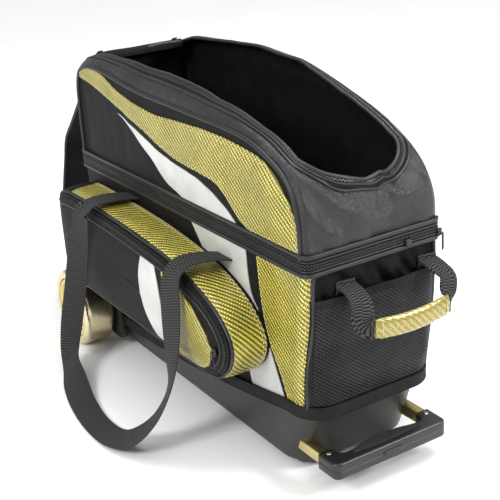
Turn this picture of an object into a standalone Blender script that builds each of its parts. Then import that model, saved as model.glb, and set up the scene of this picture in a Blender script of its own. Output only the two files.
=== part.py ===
"""A wheeled three-ball bowling bag, standing level on its wheels and skid foot.

+X points to the tow handle, -X to the wheels, -Y is the side with the patterned pocket, +Z is up
and z = 0 is the floor.  Everything hangs on one empty, so that the origin is at the centre of the
bag's footprint.  Units are metres.
"""
import math

import bmesh
import bpy
from mathutils import Matrix, Vector
from mathutils.bvhtree import BVHTree

# --- driving dimensions -----------------------------------------------------------------------
HALF_LENGTH = 0.387          # fabric body, half of its length
HALF_WIDTH = 0.125           # fabric body, half of its width
CLOTH = 0.003                # thickness of the padded fabric walls
GAP = 0.0003                 # clearance between touching pieces
SPLIT_Z = 0.3860             # plane of the main zip, where the lid lifts off
BAND_HEIGHT = 0.018          # each half of the zip band
BAND_THICK = 0.0035

BASE_BOTTOM_Z = 0.019
BASE_WALL = 0.0035
BASE_FOOT = (0.331, 0.115)   # half length and half width of the tray at its underside
BASE_RIM = (0.368, 0.1195)   # and at its rim
BASE_CORNER = 0.052

WHEEL_RADIUS = 0.080
WHEEL_X = -0.372
WHEEL_INNER_Y = 0.1365
WHEEL_WIDTH = 0.064
AXLE_RADIUS = 0.005
AXLE_CLEARANCE = 0.0001      # running clearance, measured at the flats of the faceted bore
BEARING_SIDES = 40

TUBE = 0.020                 # square tow tubes
TUBE_Y = 0.0985
TUBE_Z = 0.054
TUBE_START_X = -0.220
GRIP_X = 0.373               # where the grip starts
GRIP_LENGTH = 0.049
GRIP_HALF_WIDTH = 0.112
GRIP_Z = (0.037, 0.066)

BALL_PITCH = 0.236
DECK_Z = (0.0705, 0.0785)

OPENING_HALF_WIDTH = 0.096
OPENING_LEAN = math.radians(27)   # the tongue opening is cut along a line that leans to +X

COVER_HALF_WIDTH = 0.0915
COVER_THICK = 0.0035
COVER_HINGE = (-0.335, 0.606)
# length, direction at rest in degrees from +X towards +Z
COVER_PANELS = ((0.315, 225.0), (0.170, 247.0), (0.240, 262.0))
COVER_TIP_STRAIGHT = 0.150
COVER_TIP_BEND = 55.0
COVER_TIP_NARROWING = 0.72
COVER_FOLD_GAP = 0.0012

WEBBING_WIDTH = 0.048
WEBBING_THICK = 0.0025

FOOTPRINT_CENTRE_X = -0.1145      # middle of the whole bag, from the cover's tip to the end handle


# --- scene helpers ----------------------------------------------------------------------------
for old in list(bpy.data.objects):
    bpy.data.objects.remove(old, do_unlink=True)

frame = bpy.data.objects.new("bag_frame", None)
bpy.context.scene.collection.objects.link(frame)
frame.location = (-FOOTPRINT_CENTRE_X, 0.0, 0.0)


def material(name, colour, roughness, metallic=0.0):
    """One Principled material, made once per name."""
    found = bpy.data.materials.get(name)
    if found:
        return found
    made = bpy.data.materials.new(name)
    made.use_nodes = True
    shader = made.node_tree.nodes["Principled BSDF"]
    shader.inputs["Base Color"].default_value = (*colour, 1.0)
    shader.inputs["Roughness"].default_value = roughness
    shader.inputs["Metallic"].default_value = metallic
    made.diffuse_color = (*colour, 1.0)
    return made


BLACK = (0.026, 0.026, 0.027)
GOLD_VINYL = (0.60, 0.50, 0.11)
GOLD_METAL = (0.62, 0.48, 0.17)


def place(name, bm, colour=BLACK, roughness=0.8, metallic=0.0, pivot=None, smooth=False):
    """Turn a bmesh into a named object whose origin is at pivot, hung on the frame."""
    bmesh.ops.recalc_face_normals(bm, faces=bm.faces)
    pivot = Vector(pivot or (0.0, 0.0, 0.0))
    bmesh.ops.translate(bm, verts=bm.verts, vec=-pivot)
    mesh = bpy.data.meshes.new(name)
    bm.to_mesh(mesh)
    bm.free()
    if smooth:
        mesh.shade_smooth()
        mesh.set_sharp_from_angle(angle=math.radians(35))
    obj = bpy.data.objects.new(name, mesh)
    bpy.context.scene.collection.objects.link(obj)
    obj.parent = frame
    obj.location = pivot
    mesh.materials.append(material(name, colour, roughness, metallic))
    return obj


def combine(obj, name, bm, operation="DIFFERENCE"):
    """Cut a hidden wire-frame helper out of an object, or join it on with UNION."""
    helper = place(name, bm)
    helper.hide_render = True
    helper.display_type = "WIRE"
    modifier = obj.modifiers.new(name, "BOOLEAN")
    modifier.operation = operation
    modifier.solver = "EXACT"
    modifier.object = helper


def bridge(bm, ring_a, ring_b):
    """Quads between two closed rings of vertices."""
    count = len(ring_a)
    for i in range(count):
        j = (i + 1) % count
        bm.faces.new((ring_a[i], ring_a[j], ring_b[j], ring_b[i]))


def loft(rings, into=None):
    """A solid through closed rings of points, capped at both ends."""
    bm = into or bmesh.new()
    rows = [[bm.verts.new(point) for point in ring] for ring in rings]
    for lower, upper in zip(rows, rows[1:]):
        bridge(bm, lower, upper)
    bm.faces.new(list(reversed(rows[0])))
    bm.faces.new(rows[-1])
    return bm


def ring_solid(rings):
    """A solid through closed rings of points whose last ring joins the first."""
    bm = bmesh.new()
    rows = [[bm.verts.new(point) for point in ring] for ring in rings]
    for i, row in enumerate(rows):
        bridge(bm, row, rows[(i + 1) % len(rows)])
    return bm


def box(low, high, into=None):
    """An axis-aligned block."""
    corners = ((low[0], low[1]), (high[0], low[1]), (high[0], high[1]), (low[0], high[1]))
    return loft([[(x, y, z) for x, y in corners] for z in (low[2], high[2])], into)


def cylinder(start, end, radius, sides=20, into=None):
    """A plain round bar between two points."""
    start = Vector(start)
    axis = Vector(end) - start
    side = axis.orthogonal().normalized()
    rings = []
    for base in (start, start + axis):
        turn = [Matrix.Rotation(2 * math.pi * i / sides, 3, axis) @ side for i in range(sides)]
        rings.append([base + radius * direction for direction in turn])
    return loft(rings, into)


def turned(profile, centre, sides=40):
    """A ring turned about a line along Y; the profile is closed and given as (radius, y)."""
    rings = []
    for i in range(sides):
        angle = 2 * math.pi * i / sides
        rings.append([(centre[0] + r * math.cos(angle), y, centre[1] + r * math.sin(angle))
                      for r, y in profile])
    return ring_solid(rings)


def smooth_line(points, steps):
    """Points along a Catmull-Rom curve through the given points, with steps per stretch."""
    points = [Vector(p) for p in points]
    padded = [2 * points[0] - points[1]] + points + [2 * points[-1] - points[-2]]
    line = []
    for a, b, c, d in zip(padded, padded[1:], padded[2:], padded[3:]):
        for k in range(steps):
            t = k / steps
            line.append(0.5 * ((2 * b) + (c - a) * t + (2 * a - 5 * b + 4 * c - d) * t ** 2
                               + (3 * b - a - 3 * c + d) * t ** 3))
    line.append(points[-1])
    return line


def ribbon(stations, width, thickness, steps=3, into=None):
    """A strap through (point, direction across the strap) stations."""
    centres = smooth_line([s[0] for s in stations], steps)
    across = smooth_line([s[1] for s in stations], steps)
    rings = []
    for i, centre in enumerate(centres):
        ahead = centres[min(i + 1, len(centres) - 1)] - centres[max(i - 1, 0)]
        ahead.normalize()
        side = across[i] - across[i].dot(ahead) * ahead
        side.normalize()
        face = ahead.cross(side)
        u = side * width / 2
        v = face * thickness / 2
        rings.append([centre + u + v, centre - u + v, centre - u - v, centre + u - v])
    return loft(rings, into)


def mirrored(point, sign):
    """The same point on the front (sign -1) or the back (sign +1) of the bag."""
    return Vector((point[0], -sign * point[1], point[2]))


def rounded_plan(half_x, half_y, corner, height, side_steps=12, corner_steps=6):
    """A closed rounded rectangle that starts in the middle of the back; height is z of x."""
    flat = []
    straight = half_x - corner
    for k in range(side_steps // 2 + 1):
        flat.append((-straight * k / (side_steps // 2), half_y))
    for centre_x, centre_y, start in ((-1, 1, 90), (-1, -1, 180), (1, -1, 270), (1, 1, 0)):
        for k in range(corner_steps + 1):
            angle = math.radians(start + 90 * k / corner_steps)
            point = (centre_x * straight + corner * math.cos(angle),
                     centre_y * (half_y - corner) + corner * math.sin(angle))
            if k or (centre_x, centre_y) != (-1, 1):
                flat.append(point)
        if (centre_x, centre_y) == (-1, -1):
            flat += [(straight * (2 * j / side_steps - 1), -half_y) for j in range(1, side_steps)]
        if (centre_x, centre_y) == (1, 1):
            flat += [(straight * (1 - 2 * j / side_steps), half_y)
                     for j in range(1, side_steps // 2)]
    return [Vector((x, y, height(x))) for x, y in flat]


def level(z):
    """A height function that is the same everywhere."""
    return lambda x: z


def hem_height(x):
    """The hem where the fabric meets the tray climbs from the wheels to the tow handle."""
    run = x + 0.35
    return min(0.0595 + 0.030 * run + 0.118 * run * run, 0.132)


# --- base ---------------------------------------------------------------------------------------
def tray_plan(inset, height, spread):
    """The tray's outline, from its underside (spread 0) to its rim (spread 1)."""
    half_x = BASE_FOOT[0] + (BASE_RIM[0] - BASE_FOOT[0]) * spread - inset
    half_y = BASE_FOOT[1] + (BASE_RIM[1] - BASE_FOOT[1]) * spread - inset
    return rounded_plan(half_x, half_y, BASE_CORNER - inset, height)


def base_tray():
    """Moulded tray with a flared rim and two square holes for the tow tubes."""
    fillet = 0.006
    floor = BASE_BOTTOM_Z + BASE_WALL
    rings = [tray_plan(fillet, level(BASE_BOTTOM_Z), 0.0),
             tray_plan(0.0, level(BASE_BOTTOM_Z + fillet), 0.05),
             tray_plan(0.0, lambda x: hem_height(x) - GAP, 1.0),
             tray_plan(BASE_WALL, lambda x: hem_height(x) - GAP, 1.0),
             tray_plan(BASE_WALL, level(floor + fillet), 0.05),
             tray_plan(BASE_WALL + fillet, level(floor), 0.0)]
    obj = place("base_tray", loft(rings), (0.045, 0.044, 0.042), 0.45, smooth=True)
    hole = TUBE / 2 + 0.0008
    holes = bmesh.new()
    for side in (-1, 1):
        box((0.27, side * TUBE_Y - hole, TUBE_Z - hole), (0.38, side * TUBE_Y + hole, TUBE_Z + hole),
            holes)
    combine(obj, "tube_holes", holes)


def skid_foot():
    """Rounded foot across the tow-handle end, flat where it stands."""
    profile = ((0.200, BASE_BOTTOM_Z - GAP), (0.210, 0.006), (0.222, 0.0), (0.284, 0.0),
               (0.298, 0.006), (0.304, BASE_BOTTOM_Z - GAP))
    rings = []
    for y, shrink in ((-0.094, 0.006), (-0.088, 0.0), (0.088, 0.0), (0.094, 0.006)):
        rings.append([(x, y, max(z, shrink * (z < 0.01))) for x, z in profile])
    place("skid_foot", loft(rings), (0.02, 0.02, 0.02), 0.5)


def hem_binding():
    """Ribbed binding over the seam between the fabric and the tray."""
    def outline(offset, rise):
        return rounded_plan(HALF_LENGTH - 0.008 + offset, HALF_WIDTH - 0.002 + offset,
                            0.046 + offset, lambda x: hem_height(x) + rise)
    inner = 0.0018
    outer = inner + 0.003
    rings = [outline(inner, -0.010), outline(outer, -0.010), outline(outer, 0.012),
             outline(inner, 0.012)]
    place("hem_binding", ring_solid(rings), BLACK, 0.75)


def guide_channel(side, name):
    """Square sleeve inside the tray that a tow tube slides in."""
    inner = TUBE / 2 + 0.0008
    outer = inner + 0.0018
    rings = []
    for x, half in ((-0.25, inner), (-0.25, outer), (0.268, outer), (0.268, inner)):
        rings.append([(x, side * TUBE_Y + half * a, TUBE_Z + half * b)
                      for a, b in ((-1, -1), (1, -1), (1, 1), (-1, 1))])
    place(name, ring_solid(rings), (0.03, 0.03, 0.03), 0.5)


# --- wheels ---------------------------------------------------------------------------------------
def wheel_bracket(side, name):
    """Plate that carries a wheel, with a foot that reaches in to the tray's side."""
    plate = (0.1297, 0.1355)
    rings = []
    for y in plate:
        points = []
        for x, z, radius, first in ((-0.288, 0.108, 0.016, 0), (-0.392, 0.108, 0.016, 90),
                                    (-0.392, 0.040, 0.016, 180), (-0.288, 0.040, 0.016, 270)):
            for k in range(5):
                angle = math.radians(first + 22.5 * k)
                points.append((x + radius * math.cos(angle), side * y, z + radius * math.sin(angle)))
        rings.append(points)
    obj = place(name, loft(rings), (0.03, 0.03, 0.03), 0.5)
    foot_y = sorted((side * 0.1205, side * 0.1320))
    combine(obj, name + "_foot", box((-0.325, foot_y[0], 0.026), (-0.278, foot_y[1], 0.043)), "UNION")
    combine(obj, name + "_hole", cylinder((WHEEL_X, side * 0.12, WHEEL_RADIUS),
                                          (WHEEL_X, side * 0.15, WHEEL_RADIUS),
                                          AXLE_RADIUS + 2 * AXLE_CLEARANCE))


def axle(side, name):
    """Stub axle with a domed outer head."""
    sides = 20
    inner = WHEEL_INNER_Y - 0.0065
    outer = WHEEL_INNER_Y + WHEEL_WIDTH
    rings = []
    for y, radius in ((inner, AXLE_RADIUS), (outer - 0.006, AXLE_RADIUS), (outer - 0.006, 0.010),
                      (outer - 0.003, 0.010), (outer - 0.0012, 0.006)):
        rings.append([(WHEEL_X + radius * math.cos(2 * math.pi * k / sides), side * y,
                       WHEEL_RADIUS + radius * math.sin(2 * math.pi * k / sides))
                      for k in range(sides)])
    place(name, loft(rings), GOLD_METAL, 0.2, 1.0, (WHEEL_X, 0.0, WHEEL_RADIUS), smooth=True)


def wheel(side, suffix):
    """Tread, hub and bearing of one wheel, with their origins on the axle."""
    centre = (WHEEL_X, WHEEL_RADIUS)
    pivot = (WHEEL_X, 0.0, WHEEL_RADIUS)
    inner = WHEEL_INNER_Y
    outer = WHEEL_INNER_Y + WHEEL_WIDTH
    round_edge = 0.011
    rim = 0.061
    tread = [(rim, inner), (WHEEL_RADIUS - round_edge, inner)]
    for y, first in ((inner + round_edge, -90), (outer - round_edge, 0)):
        for k in range(5):
            angle = math.radians(first + 22.5 * k)
            tread.append((WHEEL_RADIUS - round_edge + round_edge * math.cos(angle),
                          y + round_edge * math.sin(angle)))
    tread += [(rim, outer)]
    tread = [(r, side * y) for r, y in dict.fromkeys(tread)]
    place("wheel_tread_" + suffix, turned(tread, centre), GOLD_METAL, 0.2, 0.9, pivot, smooth=True)
    hub = ((0.0112, inner + 0.004), (rim - GAP, inner + 0.004), (rim - GAP, outer - 0.002),
           (0.053, outer - 0.002), (0.047, outer - 0.010), (0.024, outer - 0.012),
           (0.016, outer - 0.007), (0.0112, outer - 0.007))
    place("wheel_hub_" + suffix, turned([(r, side * y) for r, y in hub], centre), GOLD_METAL, 0.15,
          1.0, pivot, smooth=True)
    bore = (AXLE_RADIUS + AXLE_CLEARANCE) / math.cos(math.pi / BEARING_SIDES)
    bearing = ((bore, inner + 0.006), (0.0109, inner + 0.006), (0.0109, inner + 0.040),
               (bore, inner + 0.040))
    place("wheel_bearing_" + suffix,
          turned([(r, side * y) for r, y in bearing], centre, BEARING_SIDES),
          (0.6, 0.6, 0.6), 0.3, 1.0, pivot, smooth=True)


# --- tow handle -----------------------------------------------------------------------------------
def tow_tube(side, name):
    """Square drawn tube, open at both ends."""
    outer = TUBE / 2
    inner = outer - 0.0015
    rings = []
    for x, half in ((TUBE_START_X, inner), (TUBE_START_X, outer), (GRIP_X - GAP, outer),
                    (GRIP_X - GAP, inner)):
        rings.append([(x, side * TUBE_Y + half * a, TUBE_Z + half * b)
                      for a, b in ((-1, -1), (1, -1), (1, 1), (-1, 1))])
    place(name, ring_solid(rings), GOLD_METAL, 0.3, 1.0)


def grip_half_outline():
    """Half of the grip seen from above: outer corner, arm, and the arched inner edge."""
    corner = 0.012
    far_x = GRIP_X + GRIP_LENGTH
    points = []
    for k in range(5):
        angle = math.radians(22.5 * k)
        points.append((far_x - corner + corner * math.cos(angle),
                       GRIP_HALF_WIDTH - corner + corner * math.sin(angle)))
    points += [(GRIP_X, GRIP_HALF_WIDTH), (GRIP_X, 0.0860), (GRIP_X + 0.014, 0.0835)]
    arch = smooth_line(((GRIP_X + 0.021, 0.074, 0), (GRIP_X + 0.020, 0.058, 0),
                        (GRIP_X + 0.014, 0.030, 0), (GRIP_X + 0.012, 0.0, 0)), 3)
    return points + [(p.x, p.y) for p in arch]


def tow_grip():
    """Moulded grip with a slot for its release button."""
    half = grip_half_outline()
    outline = half + [(x, -y) for x, y in reversed(half[:-1])]
    inset = 0.0025
    middle = (GRIP_X + 0.6 * GRIP_LENGTH, 0.0)
    rings = []
    for z, shrink in ((GRIP_Z[0], inset), (GRIP_Z[0] + inset, 0.0), (GRIP_Z[1] - inset, 0.0),
                      (GRIP_Z[1], inset)):
        factor_x = 1 - shrink / GRIP_LENGTH * 2
        factor_y = 1 - shrink / GRIP_HALF_WIDTH
        rings.append([(middle[0] + (x - middle[0]) * factor_x, y * factor_y, z)
                      for x, y in outline])
    obj = place("tow_grip", loft(rings), (0.04, 0.04, 0.04), 0.4, smooth=True)
    combine(obj, "button_slot", stadium(GRIP_X + GRIP_LENGTH - 0.014, GRIP_X + GRIP_LENGTH + 0.01,
                                    0.0205, 0.0050))


def stadium(start_x, end_x, half_width, half_height):
    """An oblong bar along X with round ends, centred on the grip's outer face."""
    middle_z = (GRIP_Z[0] + GRIP_Z[1]) / 2
    rings = []
    for x in (start_x, end_x):
        ring = []
        for sign, first in ((1, -90), (-1, 90)):
            for k in range(7):
                angle = math.radians(first + 30 * k)
                ring.append((x, sign * (half_width - half_height) + half_height * math.cos(angle),
                             middle_z + half_height * math.sin(angle)))
        rings.append(ring)
    return loft(rings)


def tow_button():
    """Oblong release button, proud of the grip by its travel."""
    face = GRIP_X + GRIP_LENGTH
    place("tow_button", stadium(face - 0.0085, face + 0.0012, 0.0200, 0.0045), (0.05, 0.05, 0.05),
          0.3, smooth=True)


def grip_insert():
    """Textured pad let on to the top of the grip."""
    half = grip_half_outline()[8:]
    inner_edge = [(x + 0.004, y * 0.93) for x, y in half]
    outline = inner_edge + [(x, -y) for x, y in reversed(inner_edge[:-1])]
    outline += [(GRIP_X + 0.034, -0.060), (GRIP_X + 0.037, 0.0), (GRIP_X + 0.034, 0.060)]
    rings = [[(x, y, z) for x, y in outline] for z in (GRIP_Z[1] + GAP, GRIP_Z[1] + 0.0013)]
    place("grip_insert", loft(rings), (0.02, 0.02, 0.02), 0.9)


def grip_screw(side, name):
    """Head of a screw that holds the grip on its tube."""
    x = GRIP_X + 0.012
    low, high = GRIP_Z[1] + GAP, GRIP_Z[1] + 0.0017
    place(name, cylinder((x, side * TUBE_Y, low), (x, side * TUBE_Y, high), 0.0042, 16),
          (0.5, 0.5, 0.5), 0.3, 1.0)


# --- fabric body ----------------------------------------------------------------------------------
def body_plan(offset, lift, height):
    """The fabric body's outline; lift runs from 0 at the hem to 1 at the zip."""
    half_x = HALF_LENGTH - 0.008 * (1 - lift) + offset
    half_y = HALF_WIDTH - 0.002 * (1 - lift) + offset
    corner = 0.046 - 0.034 * lift + offset
    return rounded_plan(half_x, half_y, corner, height)


def lower_shell():
    """Padded walls of the ball compartment, open at the top and the bottom."""
    rings = []
    for offset in (0.0, -CLOTH):
        rows = [body_plan(offset, 0.0, hem_height),
                body_plan(offset, 0.5, lambda x: (hem_height(x) + SPLIT_Z) / 2),
                body_plan(offset, 1.0, level(SPLIT_Z - 0.0005))]
        rings += rows if offset == 0.0 else rows[::-1]
    place("lower_shell", ring_solid(rings), BLACK, 0.85)


def zip_band(name, inner, low_z, high_z):
    """Half of the main zip: a band over the front and both ends, inner away from the walls."""
    outer = GAP + BAND_THICK
    keep = [i for i, p in enumerate(body_plan(0.0, 1.0, level(low_z))) if p.y < HALF_WIDTH - 0.014]
    corners = []
    for offset, z in ((inner, low_z), (outer, low_z), (outer, high_z), (inner, high_z)):
        corners.append(body_plan(offset, 1.0, level(z)))
    place(name, loft([[plan[i] for plan in corners] for i in keep]), BLACK, 0.6)


def lid_hinge_tape():
    """Tape along the back that the lid turns on."""
    place("lid_hinge_tape", box((-0.350, HALF_WIDTH + GAP, SPLIT_Z - BAND_HEIGHT),
                                (0.350, HALF_WIDTH + 0.0022, SPLIT_Z - 0.0005)), BLACK, 0.8)


def ball_deck():
    """Board over the tow tubes that the ball cups stand on."""
    rings = [rounded_plan(0.336, 0.107, 0.045, level(z), 4, 5) for z in DECK_Z]
    place("ball_deck", loft(rings), (0.03, 0.03, 0.03), 0.7)


def ball_cup(index, name):
    """Foam ring that a ball sits in."""
    centre = (index - 1) * BALL_PITCH
    low = DECK_Z[1] + GAP
    profile = ((0.052, low), (0.094, low), (0.094, low + 0.016), (0.080, low + 0.018),
               (0.058, low + 0.004))
    rings = []
    for k in range(28):
        angle = 2 * math.pi * k / 28
        rings.append([(centre + r * math.cos(angle), r * math.sin(angle), z) for r, z in profile])
    place(name, ring_solid(rings), (0.05, 0.05, 0.05), 0.95)


def ball_divider(x, name):
    """Padded wall between two balls."""
    rings = []
    for offset in (-0.004, 0.004):
        rings.append([(x + offset, y, z) for y, z in ((-0.1125, 0.112), (0.1125, 0.112),
                                                      (0.1175, 0.330), (0.100, 0.345),
                                                      (-0.100, 0.345), (-0.1175, 0.330))])
    place(name, loft(rings), BLACK, 0.9)


def mesh_pocket():
    """Open-topped mesh pouch on the tow-handle end."""
    columns = []
    count = 12
    for k in range(count + 1):
        across = 2 * k / count - 1
        bulge = 0.0125 * (1 - across ** 4)
        columns.append((0.108 * across, bulge))
    rings = []
    for y, bulge in columns:
        wall = HALF_LENGTH + 0.0008
        low = wall + 0.0006
        edge = wall + 0.0022 + bulge
        column = [(low - 0.003, 0.1485), (low + 0.4 * bulge, 0.146), (edge, 0.180),
                  (edge + 0.002, 0.250), (edge - 0.002, 0.328), (edge - 0.004, 0.328),
                  (edge + 0.000, 0.250), (edge - 0.002, 0.182), (low + 0.4 * bulge - 0.001, 0.149)]
        rings.append([(x, y, z) for x, z in column])
    place("mesh_pocket", loft(rings), (0.03, 0.03, 0.03), 0.7)


# --- accessory pockets ----------------------------------------------------------------------------
POCKET_SPINE = ((-0.290, 0.250), (0.190, 0.232))
POCKET_SLIDER = (0.243, 0.222)      # x and z of the parked slider
POCKET_WALL = 0.0025


def pocket_outline(shrink):
    """Closed outline (x, z), tall at the wheels and round at the tow end, drawn in to its spine."""
    corners = ((-0.374, 0.230, 0), (-0.368, 0.315, 0), (-0.335, 0.346, 0), (-0.180, 0.348, 0),
               (0.000, 0.340, 0), (0.130, 0.322, 0), (0.222, 0.290, 0), (0.270, 0.250, 0),
               (0.276, 0.214, 0), (0.250, 0.178, 0), (0.200, 0.158, 0), (0.000, 0.1545, 0),
               (-0.200, 0.1545, 0), (-0.340, 0.1555, 0), (-0.368, 0.178, 0))
    line = smooth_line(corners + (corners[0],), 2)[:-1]
    (x0, z0), (x1, z1) = POCKET_SPINE
    points = []
    for p in line:
        along = min(max((p.x - x0) / (x1 - x0), 0.0), 1.0)
        spine = Vector((x0 + (x1 - x0) * along, z0 + (z1 - z0) * along, 0))
        points.append(p.lerp(spine, shrink))
    return points


def pocket(side, name):
    """Bulging zipped pocket; its hollow opens to the wall behind it."""
    back = HALF_WIDTH + 0.0008
    outer = ((0.50, 0.2065), (0.14, 0.199), (0.04, 0.190), (0.0, 0.165), (0.02, back))
    rings = []
    for shrink, y in outer:
        rings.append([(p.x, side * y, p.y) for p in pocket_outline(shrink)])
    for shrink, y in reversed(outer):
        inner_y = y - POCKET_WALL if y != back else back
        rings.append([(p.x, side * inner_y, p.y) for p in pocket_outline(shrink + 0.03)])
    place(name, loft(rings), BLACK, 0.8)


def pocket_zip(side, name):
    """Zip tape round the top and the tow end of a pocket's front."""
    rim = pocket_outline(0.10)
    edge = pocket_outline(0.24)
    first, last = 3, 19
    rings = []
    for i in range(first, last + 1):
        ring = []
        for p, y in ((rim[i], 0.2004), (rim[i], 0.2022), (edge[i], 0.2046), (edge[i], 0.2028)):
            ring.append((p.x, side * y, p.y))
        rings.append(ring)
    place(name, loft(rings), BLACK, 0.6)


def pocket_slider(side, name):
    """Slider parked at the low end of a pocket's zip."""
    x, z = POCKET_SLIDER
    place(name, box((x - 0.005, min(side * 0.2062, side * 0.2112), z - 0.007),
                    (x + 0.005, max(side * 0.2062, side * 0.2112), z + 0.007)),
          (0.02, 0.02, 0.02), 0.4, 0.5)


def pocket_pull(side, name):
    """Triangular pull that hangs from a pocket's slider."""
    x, z = POCKET_SLIDER
    near, far = side * 0.2118, side * 0.2138
    triangle = ((x - 0.003, z), (x + 0.003, z), (x + 0.008, z - 0.030), (x - 0.008, z - 0.030))
    rings = [[(a, y, b) for a, b in triangle] for y in (near, far)]
    place(name, loft(rings), (0.02, 0.02, 0.02), 0.4, 0.5, (x, side * 0.2128, z))


# --- carry straps -----------------------------------------------------------------------------------
STRAP_PIVOT = (-0.2105, 0.3520)     # y and z of the fold at the pocket's front edge


def strap_anchor(side, x, drop, name):
    """A sewn end of a carry strap, over the top of the pocket."""
    rear = HALF_WIDTH + 0.0092
    top = 0.3590 - drop
    route = (((x - 0.002, -rear, top - 0.001), (1, 0, 0)), ((x - 0.006, -0.150, top), (1, 0, 0)),
             ((x - 0.013, -0.177, top), (1, 0, 0)), ((x - 0.02, -0.2040, top - 0.002), (1, 0, 0)))
    stations = [(mirrored(p, side), mirrored(w, side)) for p, w in route]
    place(name, ribbon(stations, WEBBING_WIDTH, WEBBING_THICK), BLACK, 0.8)


STRAP_ROUTE = (
    ((-0.193, -0.2100, 0.3520), (1.0, 0.0, 0.0)),
    ((-0.204, -0.2165, 0.3320), (1.0, 0.0, 0.0)),
    ((-0.228, -0.2210, 0.2550), (1.0, 0.0, 0.25)),
    ((-0.252, -0.2270, 0.1700), (1.0, 0.0, 0.20)),
    ((-0.266, -0.2380, 0.1000), (1.0, 0.0, 0.10)),
    ((-0.258, -0.2540, 0.0560), (0.9, 0.3, 0.45)),
    ((-0.228, -0.2700, 0.0300), (0.5, 0.55, 0.70)),
    ((-0.180, -0.2840, 0.0150), (0.2, 0.90, 0.35)),
    ((-0.110, -0.3000, 0.0065), (0.1, 1.0, 0.10)),
    ((-0.030, -0.3100, 0.0050), (0.0, 1.0, 0.05)),
    ((0.045, -0.3090, 0.0120), (-0.20, 1.0, 0.22)),
    ((0.096, -0.2930, 0.0330), (-0.45, 0.80, 0.45)),
    ((0.128, -0.2680, 0.0720), (-0.75, 0.60, 0.15)),
    ((0.143, -0.2450, 0.1250), (-0.90, 0.45, -0.10)),
    ((0.143, -0.2310, 0.1900), (-1.0, 0.25, -0.05)),
    ((0.140, -0.2240, 0.2550), (-1.0, 0.05, -0.10)),
    ((0.139, -0.2175, 0.3060), (-1.0, 0.0, 0.0)),
    ((0.138, -0.2100, 0.3320), (-1.0, 0.0, 0.0)),
)


def strap_loop(side, name):
    """Carry loop that hangs down the pocket, twists, and lies on the floor."""
    stations = [(mirrored(p, side), mirrored(w, side)) for p, w in STRAP_ROUTE]
    pivot = mirrored((0.0, *STRAP_PIVOT), side)
    place(name, ribbon(stations, WEBBING_WIDTH, WEBBING_THICK), BLACK, 0.8, pivot=pivot)


# --- lid --------------------------------------------------------------------------------------------
LID_FRONT = ((-0.387, 0.3870), (-0.384, 0.500), (-0.374, 0.553), (-0.345, 0.582),
             (-0.270, 0.591), (-0.110, 0.575), (0.050, 0.570), (0.228, 0.564),
             (0.310, 0.543), (0.364, 0.510), (0.385, 0.455), (0.387, 0.3870))
LID_BACK = ((-0.387, 0.3870), (-0.384, 0.500), (-0.374, 0.555), (-0.345, 0.584),
            (-0.250, 0.595), (-0.060, 0.592), (0.090, 0.582), (0.210, 0.560),
            (0.292, 0.532), (0.350, 0.494), (0.381, 0.445), (0.387, 0.3870))
LID_CROWN = (0.0, 0.001, 0.001, 0.002, 0.010, 0.028, 0.026, 0.004, 0.003, 0.004, 0.003, 0.0)
LID_ROWS = (-1.0, -0.99, -0.965, -0.925, -0.85, -0.70, -0.35, 0.0, 0.35, 0.70, 0.85, 0.925,
            0.965, 0.99, 1.0)
LID_EDGE = 0.012            # rounding where the top turns into the front and the back


def lid_point(front, back, crown, normal, across):
    """A point of the lid's skin; across runs from -1 at the front to 1 at the back."""
    y = HALF_WIDTH * across
    past = max(abs(y) - (HALF_WIDTH - LID_EDGE), 0.0)
    inset = LID_EDGE - math.sqrt(max(LID_EDGE ** 2 - past ** 2, 0.0))
    blend = front.lerp(back, (across + 1) / 2)
    spot = blend + normal * (crown * (1 - abs(across) ** 6) - inset)
    return Vector((spot.x, y, max(spot.y, SPLIT_Z + 0.0005)))


def lid_grid(steps=4):
    """Rows of skin points from the wheel end, over the top, to the tow end."""
    front = smooth_line([(x, z, 0) for x, z in LID_FRONT], steps)
    back = smooth_line([(x, z, 0) for x, z in LID_BACK], steps)
    crown = smooth_line([(c, 0, 0) for c in LID_CROWN], steps)
    rows = []
    for i in range(len(front)):
        before, after = max(i - 1, 0), min(i + 1, len(front) - 1)
        ahead = (front[after] - front[before] + back[after] - back[before]).normalized()
        normal = Vector((-ahead.y, ahead.x, 0))
        if i in (0, len(front) - 1):
            normal = Vector((-1 if i == 0 else 1, 0, 0))
        rows.append([lid_point(front[i], back[i], crown[i].x, normal, t) for t in LID_ROWS])
    return rows


def lid_skin():
    """The lid's outer surface as an open sheet: curved top and ends, flat front and back."""
    bm = bmesh.new()
    grid = [[bm.verts.new(p) for p in row] for row in lid_grid()]
    for row, following in zip(grid, grid[1:]):
        for a, b, c, d in zip(row, row[1:], following[1:], following):
            bm.faces.new((a, b, c, d))
    bm.faces.new([row[0] for row in grid])
    bm.faces.new([row[-1] for row in reversed(grid)])
    bmesh.ops.recalc_face_normals(bm, faces=bm.faces)
    return bm


def opening_frame():
    """Axes of the slanted cut: along it, and the direction that the opening runs in."""
    out = Vector((math.sin(OPENING_LEAN), 0, math.cos(OPENING_LEAN)))
    run = Vector((math.cos(OPENING_LEAN), 0, -math.sin(OPENING_LEAN)))
    return out, run


def opening_outline(grow):
    """The tongue-shaped opening in the slanted frame: square at the wheels, round at the tow end."""
    _, run = opening_frame()
    start = Vector((-0.331, 0, 0.598)).dot(run) - grow
    end = Vector((0.374, 0, 0.497)).dot(run) + grow
    half = OPENING_HALF_WIDTH + grow
    points = [(start, half), (start, 0.0), (start, -half)]
    reach = 0.62 * half
    points += [(start + (end - reach - start) * k / 14, -half) for k in range(1, 14)]
    for k in range(13):
        angle = math.radians(-90 + 15 * k)
        points.append((end - reach + reach * math.cos(angle), half * math.sin(angle)))
    points += [(start + (end - reach - start) * k / 14, half) for k in range(13, 0, -1)]
    return points


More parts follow.
